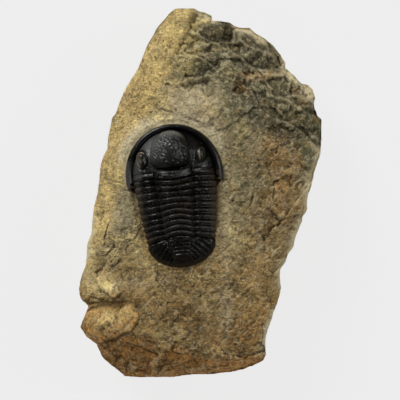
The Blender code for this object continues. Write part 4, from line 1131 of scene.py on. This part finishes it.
def head_rear(u):
    edge = THORAX_HALF_WIDTH_FRONT
    seam = seam_line(0, np.minimum(np.abs(u), edge)) + SEAM * 0.25
    tip = -HEAD_REACH * math.sin(GENAL_ANGLE)
    return mix(seam, tip, clamp((np.abs(u) - edge - 0.32) / 0.4))


def head_inward(u, v):
    return (1.0 - np.hypot(u / HEAD_HALF_WIDTH, v / HEAD_REACH)) * HEAD_HALF_WIDTH


def head_border(u):
    return mix(BORDER_FRONT, BORDER_SIDE, np.minimum(np.abs(u) / HEAD_HALF_WIDTH, 1.0) ** 2)


def eye_place(u, v):
    """0 at the middle of the nearer eye, 1 at its edge."""
    du = (np.abs(u) - EYE_OFFSET) / EYE_HALF_WIDTH
    dv = (v - EYE_STATION - 0.12 * (np.abs(u) - EYE_OFFSET)) / EYE_HALF_LENGTH
    return np.hypot(du, dv), du, dv


def with_eyes(u, v, height, inward, border):
    """The head with its eyes, the left one higher and hollow beside its rim."""
    ring, du, dv = eye_place(u, v)
    swell = clamp(1.0 - ring ** 2) ** np.where(u < 0.0, 0.42, 0.9)
    top = np.where(u < 0.0, EYE_TOP, EYE_TOP - 0.5)
    height = np.where(ring < 1.0, np.maximum(height, mix(height, top, swell)), height)
    height -= np.where(u < 0.0, 0.1, 0.0) * bell(ring - 1.12, 0.1) * (inward > border + 0.2)
    height -= 0.30 * bell(np.hypot(du - 0.2, dv), 0.42) * (ring < 1.0) * (u < 0.0)
    return height


def with_glabella(u, v, height, granule):
    """The head with its glabella, and how far each point lies on that dome."""
    half = GLABELLA_HALF_WIDTH * (1.0 - 0.05 * (v - GLABELLA_CENTRE))
    station = (v - GLABELLA_CENTRE) / GLABELLA_HALF_LENGTH
    dome = 1.0 - (u / half) ** 2 - np.abs(station) ** np.where(station > 0.0, 2.8, 3.6)
    around = np.hypot(u / half, station)
    parted = clamp(smooth_step((u + 1.0) / 2.5) + smooth_step((2.6 - v) / 2.0))
    height -= mix(0.02, 0.12, parted) * bell(around - 1.06, 0.13) * (np.abs(u) < half * 1.4)
    slope = 0.06 * (GLABELLA_CENTRE - 1.2 - v)
    crown = 1.4 + (GLABELLA_TOP - 1.4 + slope) * clamp(dome) ** 0.5
    on_dome = smooth_step(dome / 0.25)
    smooth_flank = bell(np.hypot(u + 2.4, v - 2.0), 1.3)
    rough_share = on_dome * (1.0 - 0.8 * smooth_flank)
    crown += granule * studs(0.8 * u - 0.6 * v, 0.6 * u + 0.8 * v, 0.5, 0.4, 3) * rough_share
    crown += 0.5 * granule * studs(0.3 * u + 0.95 * v, 0.3 * v - 0.95 * u, 0.27, 0.42, 9) * on_dome
    crown += 0.05 * waves(u, v, 1.1, 81.0) * on_dome
    crown -= 0.12 * bell(np.abs(u) - half * 0.62, 0.16) * bell(v - 2.1, 0.7)
    height = np.where(dome > 0.0, soft_max(height, crown, mix(1.8, 0.25, parted)), height)
    return height, on_dome


def with_neck_ring(u, v, height, from_rear, granule):
    """The head with the ring that joins the glabella to the thorax."""
    half = AXIS_HALF_WIDTH_FRONT
    arch = 2.2 + (AXIS_TOP_FRONT - 2.2) * rounded(u / half, 2)
    swell = 1.0 - 0.5 * (np.abs(from_rear - 0.8) / 0.8) ** 8
    ring_top = np.maximum(np.minimum(height, arch), arch - (1.0 - swell))
    ring_top += 0.5 * granule * studs(u, v, 0.4, 0.4, 14) * smooth_step((1.1 - from_rear) / 0.3)
    on_axis = np.abs(u) < half
    height = np.where(on_axis & (from_rear < 1.6), ring_top, height)
    height = np.where(on_axis & (from_rear < 1.75), np.maximum(height, arch - 0.5), height)
    height -= 0.15 * bell(from_rear - 1.72 - 0.15 * np.cos(u), 0.24) * on_axis
    return height


def head_height(u, v, granule):
    """Height of the head shield above its margin, and how far a point lies on its glabella."""
    inward = head_inward(u, v)
    border = head_border(u)
    from_rear = v - head_rear(u)
    across = (inward - 0.5 * border) / (0.5 * border)
    tube = 0.35 + (BORDER_TOP - 0.35) * rounded(np.abs(across), 2.1)
    tube += 0.012 * np.sin(inward * 2.0 * math.pi / 0.19)

    beyond = clamp((inward - border) / 2.9)
    height = BORDER_FURROW + (CHEEK_RISE + 0.1) * (1.0 - (1.0 - beyond) ** 2)
    height -= 0.12 * bell(inward - border, 0.1)
    off_axis = smooth_step((np.abs(u) - 3.2) / 0.8)
    height -= 0.18 * bell(from_rear - 0.95, 0.24) * off_axis
    height -= 0.30 * bell(from_rear, 0.22)

    height = with_eyes(u, v, height, inward, border)
    height, on_dome = with_glabella(u, v, height, granule)
    height = with_neck_ring(u, v, height, from_rear, granule)
    cheek = (1.0 - on_dome) * smooth_step((inward - border) / 0.4)
    height += cheek * (0.03 * waves(u, v, 1.4, 82.0) + 0.35 * granule * studs(u, v, 0.3, 0.4, 17))
    height = np.where(inward < border, tube, height)
    return height, on_dome


def make_plate(name, node, material, bm, place, **masks):
    """Set a plate of the shell down on the block, with its masks, and close it below."""
    shown = {mask: clamp(masks.get(mask, np.zeros(len(bm.verts)))) for mask in ("residue_and_highlight", "dust", "worn")}
    place_points(bm, to_block(*place), shown)
    close_below(bm, (FACE_HEIGHT + SEAT) * MM)
    make_piece(name, bm, material, node)


def head_masks(u, v, height, on_dome):
    """Where pale stone and a painted highlight lie on the eyes, where dust lies and where a painted sheen
    lightens the shell.
    """
    ring, du, dv = eye_place(u, v)
    left = u < 0.0
    # The left eye's pale rim, strongest on its outer front side toward the light, is stone left on it plus a
    # painted highlight; the right eye's pale streak on its inner side is a painted highlight.
    rim_ring = bell(ring - 0.88, 0.13) * smooth_step((0.9 * du + 0.5 * dv + 0.35) / 0.6)
    streak = bell(du + 0.15, 0.13) * bell(dv + 0.1, 0.42)
    residue_and_highlight = np.where(left, rim_ring * smooth_step((height - 2.75) / 0.5), 0.42 * streak)
    inside_eye = 1.1 * bell(np.hypot(du - 0.3, dv), 0.55) * smooth_step((du + 0.35) / 0.4)
    dust = np.where(left, inside_eye, 0.0)
    from_rear = v - head_rear(u)
    dust += 0.55 * smooth_step((np.abs(u) - 5.2) / 2.0) * smooth_step((1.4 - from_rear) / 1.8)
    # Painted sheen: lighter grey laid on the glabella's front, the left front cheek and the head's left rear
    # corner.
    worn = 1.6 * on_dome * smooth_step((v - 5.6) / 2.4)
    on_cheek = (ring > 1.1) & (head_inward(u, v) > head_border(u))
    worn = np.maximum(worn, bell(np.hypot(u + 3.4, v - 5.6), 2.8) * on_cheek)
    worn = np.maximum(worn, 0.5 * smooth_step((-5.0 - u) / 0.8) * smooth_step((3.6 - v) / 1.2))
    return {"residue_and_highlight": residue_and_highlight, "dust": dust, "worn": worn}


def make_head(material, granule):
    """The head shield: rows run from a short line behind the glabella out to the margin."""
    rows = HEAD_INSIDE_ROWS + HEAD_BORDER_ROWS
    bm, column, row = grid_mesh(HEAD_COLUMNS, rows)
    angle = mix(-GENAL_ANGLE, math.pi + GENAL_ANGLE, np.arange(HEAD_COLUMNS + 1) / HEAD_COLUMNS)
    rim = np.stack([HEAD_HALF_WIDTH * np.cos(angle), HEAD_REACH * np.sin(angle)])
    tip = (HEAD_HALF_WIDTH * math.cos(GENAL_ANGLE), -HEAD_REACH * math.sin(GENAL_ANGLE))
    start_u = HEAD_START_HALF_WIDTH * rim[0] / tip[0]
    start_v = tip[1] * np.abs(start_u) / tip[0]
    low = np.zeros(HEAD_COLUMNS + 1)
    high = np.ones(HEAD_COLUMNS + 1)
    for _step in range(20):
        middle = 0.5 * (low + high)
        u = mix(start_u, rim[0], middle)
        v = mix(start_v, rim[1], middle)
        within = head_inward(u, v) > head_border(u)
        low = np.where(within, middle, low)
        high = np.where(within, high, middle)
    furrow = low[column]
    reach = np.where(row <= HEAD_INSIDE_ROWS, row / HEAD_INSIDE_ROWS * furrow,
                     mix(furrow, 1.0, (row - HEAD_INSIDE_ROWS) / HEAD_BORDER_ROWS))
    u = mix(start_u[column], rim[0][column], reach)
    v = mix(start_v[column], rim[1][column], reach)
    straight = tip[1] * np.minimum(np.abs(u) / tip[0], 1.0)
    lift = head_rear(u) - straight
    v = v + lift * np.exp(-np.maximum(0.0, v - straight) / 2.0) * (1.0 - reach ** 8)
    height, on_dome = head_height(u, v, granule)
    height = np.where(row == rows, HEAD_MARGIN_HEIGHT, height)
    make_plate("head_shield", "cephalon", material, bm, (u, v, height), **head_masks(u, v, height, on_dome))


def thorax_section(u, v):
    """Height of the thorax across the animal, and the share of the way from its axis to its flank."""
    along = along_thorax(v)
    half = axis_half_width(v)
    width = thorax_half_width(v)
    axis_top = mix(AXIS_TOP_FRONT, AXIS_TOP_REAR, along)
    pleura_top = mix(PLEURA_TOP_FRONT, PLEURA_TOP_REAR, along)
    ring = pleura_top - 0.35 + (axis_top - pleura_top + 0.35) * rounded(np.abs(u) / half, 2.2)
    across = (np.abs(u) - half) / (width - half)
    fall = (1.0 - clamp(across) ** 2.6) ** 0.7
    rib = mix(-0.25, pleura_top, fall) - 0.35 * bell(across, 0.14)
    return np.where(np.abs(u) < half, ring, rib), across


def make_segment(number, material, granule):
    """One plate of the thorax: a ring over the axis and a ribbed flank to each side."""
    bm, column, row = grid_mesh(PLATE_COLUMNS, PLATE_ROWS)
    middle = THORAX_FRONT - (number - 0.5) * SEGMENT_PITCH
    width = float(thorax_half_width(middle))
    u = width * (2.0 * column / PLATE_COLUMNS - 1.0)
    share = 1.0 - row / PLATE_ROWS
    front = seam_line(number - 1, u) + PLATE_FRONT_LAP
    rear = seam_line(number, u) + PLATE_REAR_LAP
    v = mix(front, rear, share)
    section, across = thorax_section(u, np.full_like(u, middle))
    on_axis = smooth_step(-across * 6.0 + 0.5)
    before = clamp((0.26 - share) / 0.26) ** 1.4
    behind = clamp((share - 0.34) / 0.66) ** 1.3
    drop = RING_RELIEF * (before * 1.35 + behind * 1.5)
    groove = bell(share - 0.66 - 0.08 * clamp(across), 0.07) * 0.2 * (1.0 - on_axis)
    groove *= smooth_step(across * 5.0) * smooth_step((1.0 - across) * 3.0)
    height = section - drop - groove
    height += 0.06 * waves(u, v, 1.2, 90.0 + number) + 0.035 * waves(u, v, 3.0, 91.0)
    height += 0.6 * granule * studs(u, v, 0.34, 0.4, 19) * smooth_step(1.0 - np.abs(share - 0.62) / 0.4)
    height = np.maximum(height, PLATE_LOWEST)
    lap = 0.5 * waves(u, v, 0.5, 96.0) + 0.35 * waves(u, v, 1.6, 97.0)
    dust = smooth_step((across - 0.62 + 0.14 * lap) / 0.3)
    # Dust on the ring crests from the third plate back, also serving as a painted highlight along each crest.
    crest = bell(share - 0.28, 0.13) * on_axis * smooth_step((number - 2.0) / 3.0)
    patchy = smooth_step(0.5 + 1.5 * waves(u, v, 0.8, 98.0) + 0.8 * waves(u, v, 2.2, 99.0))
    # Painted sheen: a faint grey band over the rear plates and a stronger one on the left flanks of the front
    # plates.
    worn = 0.1 * bell(v + 9.5, 4.5) + 0.4 * (u < 0.0) * bell(v + 1.6, 2.4) * smooth_step((across - 0.5) / 0.3)
    dusty = 0.8 + 0.5 * (u > 0.0) * bell(v + 8.0, 3.5) + 0.5 * (u < 0.0) * bell(v + 3.5, 3.0)
    dust = np.maximum(dusty * dust, 0.7 * crest * patchy)
    make_plate("thorax_plate_%02d" % number, "thorax_segment_%02d" % number, material, bm, (u, v, height),
               dust=dust, worn=worn)


def ribs(phase):
    """Low ribs side by side: each rises steeply in front and falls away gently behind."""
    part = phase - np.floor(phase)
    rise = np.maximum(1.0 - part / RIB_FRONT, 0.0) ** 1.3
    fall = np.maximum((part - RIB_FRONT) / (1.0 - RIB_FRONT), 0.0) ** 1.6
    return np.where(part < RIB_FRONT, rise, fall)


def tail_height(u, v, granule):
    front = seam_line(SEGMENTS, u) - SEAM * 0.25
    ring = np.hypot(u / TAIL_HALF_WIDTH, np.minimum(v - TAIL_CENTRE, 0.0) / TAIL_REACH)
    back = float(seam_line(SEGMENTS, np.array(0.0))) - v
    dome = (1.0 - clamp(ring) ** 2.6) ** 0.75
    height = mix(-0.1, PLEURA_TOP_REAR, dome)
    along = clamp(back / TAIL_AXIS_LENGTH)
    half = mix(AXIS_HALF_WIDTH_REAR, 1.25, along)
    end = smooth_step((TAIL_AXIS_LENGTH + 0.4 - back) / 1.2)
    across = np.abs(u) / half
    crest = mix(AXIS_TOP_REAR, 2.3, along ** 1.3)
    axis = np.maximum(height, mix(height, crest, rounded(across, 3.4) * end))
    bowed = back - 0.25 * clamp(across) ** 2
    fading = end * clamp(1.25 - back / TAIL_AXIS_LENGTH)
    axis -= 0.4 * (1.0 - 0.8 * clamp(across) ** 3) * ribs(bowed / 0.66 + 0.3) * fading
    height = np.where(across < 1.0, axis, height)
    height -= 0.05 * bell(across - 1.08, 0.14) * end * (u < 0.0)
    beside = np.maximum(np.abs(u) - half, 0.0)
    start = (back - 0.25 * beside - 0.10 * beside ** 2) / (1.0 + 0.22 * beside)
    fade = smooth_step((0.94 - ring) / 0.2) * smooth_step((4.8 - start) / 1.2)
    fade *= smooth_step((across - 1.0) / 0.35)
    height -= 0.36 * ribs(start / 0.7) * fade
    height -= 0.25 * bell(v - front, 0.14)
    height += 0.05 * waves(u, v, 1.2, 101.0) + 0.03 * waves(u, v, 3.0, 102.0)
    height += 0.4 * granule * studs(u, v, 0.3, 0.4, 23) * (1.0 - ring)
    return height, ring, back


def make_tail(material, granule):
    """The tail shield: rows run from a short line across its front out to the margin."""
    bm, column, row = grid_mesh(TAIL_COLUMNS, TAIL_ROWS)
    angle = math.pi * column / TAIL_COLUMNS
    reach = row / TAIL_ROWS
    u = mix(TAIL_START_HALF_WIDTH, TAIL_HALF_WIDTH, reach) * np.cos(angle)
    v = TAIL_CENTRE - TAIL_REACH * np.sin(angle) * reach
    lift = seam_line(SEGMENTS, u) - SEAM * 0.25 - TAIL_CENTRE
    v = v + lift * np.exp(-np.maximum(0.0, TAIL_CENTRE - v) / 2.2) * (1.0 - reach ** 8)
    height, ring, back = tail_height(u, v, granule)
    height = np.where(row == TAIL_ROWS, 0.0, height)
    dust = 0.5 * smooth_step((ring - 0.86 + 0.06 * waves(u, v, 1.2, 103.0)) / 0.1)
    dust *= smooth_step((1.3 - back) / 1.2)
    dust += 0.5 * smooth_step((ring - 0.965) / 0.03)
    make_plate("tail_shield", "pygidium", material, bm, (u, v, height), dust=dust)


# ---- finishes

def limestone_finish(colours):
    stone = Finish("weathered_limestone")
    mask = stone.attribute
    cream = colours.cream
    broad = stone.noise(0.17, 4.0, 0.6)
    patch = stone.noise(0.55, 5.0, 0.7, 0.5)
    other = stone.noise(0.83, 4.0, 0.7, 0.6)
    mottle = stone.noise(1.8, 5.0, 0.7, 0.8)
    grain = stone.noise(2.8, 3.0, 0.8, 0.4, (0.9, 2.0, 1.0))
    stroke = stone.noise(0.95, 4.0, 0.7, 0.6, (1.0, 3.0, 1.0))
    crest = stone.noise(0.9, 3.0, 0.6, 0.7, (0.8, 2.2, 1.0))
    sliver = stone.noise(1.5, 4.0, 0.75, 0.5, (1.0, 1.8, 1.0))
    line = (1.0 - 16.0 * (crest - 0.5).size()).clamped()
    glint = sliver.step(0.575, 0.625)
    dash = 1.0 - sliver.step(0.35, 0.40)
    flat_tone, flat_hue = stone.flats(0.42, 2.6)
    small_tone = stone.flats(1.1, 1.0)[0]
    # Painted shade in small pores.
    pore_shade = (1.0 - stone.cells(1.3).step(0.10, 0.24)) * mottle.step(0.44, 0.56)

    # The ground colours, with the stains over them.
    weathered = stone.mix(stone.mix(colours.tan, colours.ochre, other.step(0.48, 0.64) * 0.7), colours.straw,
                          patch.step(0.52, 0.66) * 0.6)
    body = stone.layered(colours.umber, (
        (colours.olive, (mask("olive") + 1.2 * (broad - 0.5) + (patch - 0.5)).clamped()),
        (colours.pink, 0.6 * other.step(0.48, 0.60)),
        (colours.warm, mask("warm") * (0.5 + 0.6 * flat_hue)),
        (colours.olive, 0.4 * flat_hue.step(0.6, 0.9)),
        (colours.ochre, 0.45 * patch.step(0.52, 0.66)),
        (weathered, (mask("tan") * (1.15 + 1.2 * (patch - 0.5))).clamped()),
        (colours.foot, (mask("foot") * (0.75 + 0.5 * patch)).clamped()),
        (colours.rust, (mask("rust") * (0.1 + 2.0 * (mottle - 0.2))).clamped()),
        (colours.pink, (mask("pale") * (0.5 + patch)).clamped()),
        (colours.straw, (4.0 * mask("straw") * (mottle - 0.3)).clamped()),
    ))

    # Lighter and darker grain, calmer on the broken corner.
    marks = 1.6 * (mottle - 0.5) + 1.3 * (grain - 0.5) + 2.1 * (stroke - 0.5) + 0.3 * (small_tone - 0.5)
    marks = marks + 0.22 * (mottle.step(0.46, 0.54) - 0.5) + 0.22 * (grain.step(0.44, 0.56) - 0.5)
    marks = marks * (1.0 - 0.35 * mask("olive").clamped())
    tone = 0.98 + 0.6 * mask("tone") + 0.4 * mask("pale") + 0.4 * (flat_tone - 0.5) + marks
    body = stone.mix(body, stone.grey(tone.at_least(0.3)), 1.0, "MULTIPLY")

    # Fresh crests, slivers, cracks and the dark film beside the shell.
    # Cream lines, flecks and glints, partly painted highlights on crests and rims; painted shade in nicks,
    # cracks, hollows and pores; and the dark film beside the shell with its painted shadow.
    body = stone.layered(body, (
        (cream, (0.7 * line * other.step(0.52, 0.6) * grain.step(0.34, 0.64)).clamped()),
        (cream, 0.5 * (mottle + 0.5 * stroke).step(0.82, 0.94) * grain.step(0.42, 0.54)),
        (cream, (0.75 * mask("cream") * grain.step(0.3, 0.5)).clamped()),
        (cream, glint * (0.22 + 0.6 * other.step(0.42, 0.6))),
        (colours.shade, 0.55 * dash),
        (colours.shade, (mask("dark") * (1.1 - 0.5 * grain) + 0.4 * pore_shade).clamped()),
        (times(colours.umber, 0.2), 0.85 * (mask("film") * (0.3 + 1.4 * mottle)).clamped()),
    ))
    height = (0.6 * mottle + 0.25 * grain + 0.5 * stroke + 0.12 * line - 0.3 * pore_shade
              + 0.15 * glint - 0.2 * dash + 0.12 * small_tone)
    return stone.finish(body, 0.75 + 0.2 * grain, height, STONE_BUMP)


def shell_finish(settings, name, haze_share):
    shell = Finish(name)
    mask = shell.attribute
    patch = shell.noise(0.9, 4.0, 0.6)
    mottle = shell.noise(3.2, 4.0, 0.7, 0.4)
    grain = shell.noise(9.0, 2.0, 0.7)
    dust = (mask("dust") * (0.45 + 0.9 * mottle)).clamped()
    # Painted glints: scattered pale specks on the black.
    glint_specks = (1.0 - shell.cells(2.6).step(0.06, 0.2)) * (patch + mottle).step(0.96, 1.08)
    # Over the black: patches, haze, dust, the painted sheen, painted glints, and the pale eye colour with its
    # painted highlight.
    body = shell.layered(settings.black, (
        (times(settings.black, 3.5), (1.6 * patch * mottle).clamped()),
        (times(SHELL_HAZE, haze_share), patch.step(0.42, 0.58) * mottle.step(0.38, 0.58)),
        (times(settings.dust, 0.5), 0.85 * dust),
        (SHELL_SHEEN, mask("worn") * (0.1 + 1.2 * mottle)),
        (SHELL_GLINT, 0.6 * glint_specks),
        (settings.residue_and_highlight, (mask("residue_and_highlight") * mottle.step(0.22, 0.52)).clamped()),
    ))
    rough = settings.roughness + 0.16 * (patch - 0.5) + 0.4 * dust + 0.25 * mask("residue_and_highlight")
    return shell.finish(body, rough.clamped(), 0.8 * mottle + 0.2 * grain, SHELL_BUMP)


# ---- operators

class FOSSIL_OT_block(bpy.types.Operator):
    """Make the loose block of limestone"""
    bl_idname = "fossil.block"
    bl_label = "Limestone block"

    def execute(self, context):
        settings = context.scene.fossil_block
        make_block(limestone_finish(settings))
        return {"FINISHED"}


class FOSSIL_OT_head(bpy.types.Operator):
    """Make the head shield with its glabella and eyes"""
    bl_idname = "fossil.head"
    bl_label = "Head shield"

    def execute(self, context):
        settings = context.scene.fossil_shell
        make_head(shell_finish(settings, "head_shell", HEAD_HAZE), settings.granules / MM)
        return {"FINISHED"}


class FOSSIL_OT_thorax(bpy.types.Operator):
    """Make the ten plates of the thorax"""
    bl_idname = "fossil.thorax"
    bl_label = "Thorax plates"

    def execute(self, context):
        settings = context.scene.fossil_shell
        material = shell_finish(settings, "thorax_shell", THORAX_HAZE)
        for number in range(1, SEGMENTS + 1):
            make_segment(number, material, settings.granules / MM)
        return {"FINISHED"}


class FOSSIL_OT_tail(bpy.types.Operator):
    """Make the tail shield"""
    bl_idname = "fossil.tail"
    bl_label = "Tail shield"

    def execute(self, context):
        settings = context.scene.fossil_shell
        make_tail(shell_finish(settings, "tail_shell", TAIL_HAZE), settings.granules / MM)
        return {"FINISHED"}


def add_object(name, data):
    holder = bpy.data.objects.new(name, data)
    bpy.context.scene.collection.objects.link(holder)
    return holder


def area_light(name, power, size, place, shines):
    """A round soft light that looks at the fossil."""
    lamp = bpy.data.lights.new(name, "AREA")
    lamp.energy = power
    lamp.shape = "DISK"
    lamp.size = size
    holder = add_object(name, lamp)
    holder.location = place
    holder.rotation_euler = (Vector(LIGHTS_AIM) - Vector(place)).to_track_quat("-Z", "Y").to_euler()
    holder.visible_glossy = shines


class FOSSIL_OT_studio(bpy.types.Operator):
    """Make the floor, the lights and the camera"""
    bl_idname = "fossil.studio"
    bl_label = "Studio"

    def execute(self, context):
        settings = context.scene.fossil_studio
        scene = context.scene
        bm = bmesh.new()
        bmesh.ops.create_circle(bm, cap_ends=True, radius=FLOOR_RADIUS, segments=FLOOR_SIDES)
        carry_rim(bm, settings.rim_height)
        mesh = bpy.data.meshes.new("floor")
        bm.to_mesh(mesh)
        bm.free()
        floor = add_object("floor", mesh)
        paper = bpy.data.materials.new("floor_paper")
        paper.use_nodes = True
        shader = paper.node_tree.nodes["Principled BSDF"]
        shader.inputs["Base Color"].default_value = (*settings.floor, 1.0)
        shader.inputs["Roughness"].default_value = 1.0
        shader.inputs["Specular IOR Level"].default_value = 0.0
        shader.inputs["Emission Color"].default_value = (1.0, 1.0, 1.0, 1.0)
        shader.inputs["Emission Strength"].default_value = settings.floor_glow
        mesh.materials.append(paper)
        floor.visible_glossy = False

        powers = (settings.key_power, settings.fill_power, LOW_LIGHT_SHARE * settings.fill_power)
        for (name, (size, place, shines)), power in zip(LIGHTS.items(), powers):
            area_light(name, power, size, place, shines)
        world = bpy.data.worlds.new("studio_sky")
        world.use_nodes = True
        sky = world.node_tree.nodes["Background"]
        sky.inputs["Color"].default_value = (1.0, 1.0, 1.0, 1.0)
        sky.inputs["Strength"].default_value = settings.sky
        scene.world = world

        lens = bpy.data.cameras.new("camera")
        lens.lens = settings.lens
        lens.sensor_width = SENSOR_WIDTH
        lens.clip_start = 0.01
        lens.clip_end = 10.0
        camera = add_object("camera", lens)
        distance = settings.frame_width * settings.lens / SENSOR_WIDTH
        camera.location = (CAMERA_AIM[0], CAMERA_AIM[1], CAMERA_AIM[2] + distance)
        scene.camera = camera
        scene.view_settings.view_transform = "Standard"
        return {"FINISHED"}


class FOSSIL_PT_panel(bpy.types.Panel):
    """Sizes and colours of the fossil"""
    bl_label = "Trilobite on limestone"
    bl_idname = "FOSSIL_PT_panel"
    bl_space_type = "VIEW_3D"
    bl_region_type = "UI"
    bl_category = "Fossil"

    def draw(self, context):
        scene = context.scene
        for group, operators in ((scene.fossil_block, ("fossil.block",)),
                                 (scene.fossil_shell, ("fossil.head", "fossil.thorax", "fossil.tail")),
                                 (scene.fossil_studio, ("fossil.studio",))):
            box = self.layout.box()
            for name in group.__annotations__:
                box.prop(group, name)
            for operator in operators:
                box.operator(operator)


CLASSES = (BlockSettings, ShellSettings, StudioSettings, FOSSIL_OT_block, FOSSIL_OT_head, FOSSIL_OT_thorax,
           FOSSIL_OT_tail, FOSSIL_OT_studio, FOSSIL_PT_panel)


def register():
    for cls in CLASSES:
        bpy.utils.register_class(cls)
    bpy.types.Scene.fossil_block = PointerProperty(type=BlockSettings)
    bpy.types.Scene.fossil_shell = PointerProperty(type=ShellSettings)
    bpy.types.Scene.fossil_studio = PointerProperty(type=StudioSettings)


def unregister():
    del bpy.types.Scene.fossil_studio
    del bpy.types.Scene.fossil_shell
    del bpy.types.Scene.fossil_block
    for cls in reversed(CLASSES):
        bpy.utils.unregister_class(cls)


def main():
    register()
    bpy.ops.fossil.studio()
    bpy.ops.fossil.block()
    bpy.ops.fossil.head()
    bpy.ops.fossil.thorax()
    bpy.ops.fossil.tail()


if __name__ == "__main__":
    main()
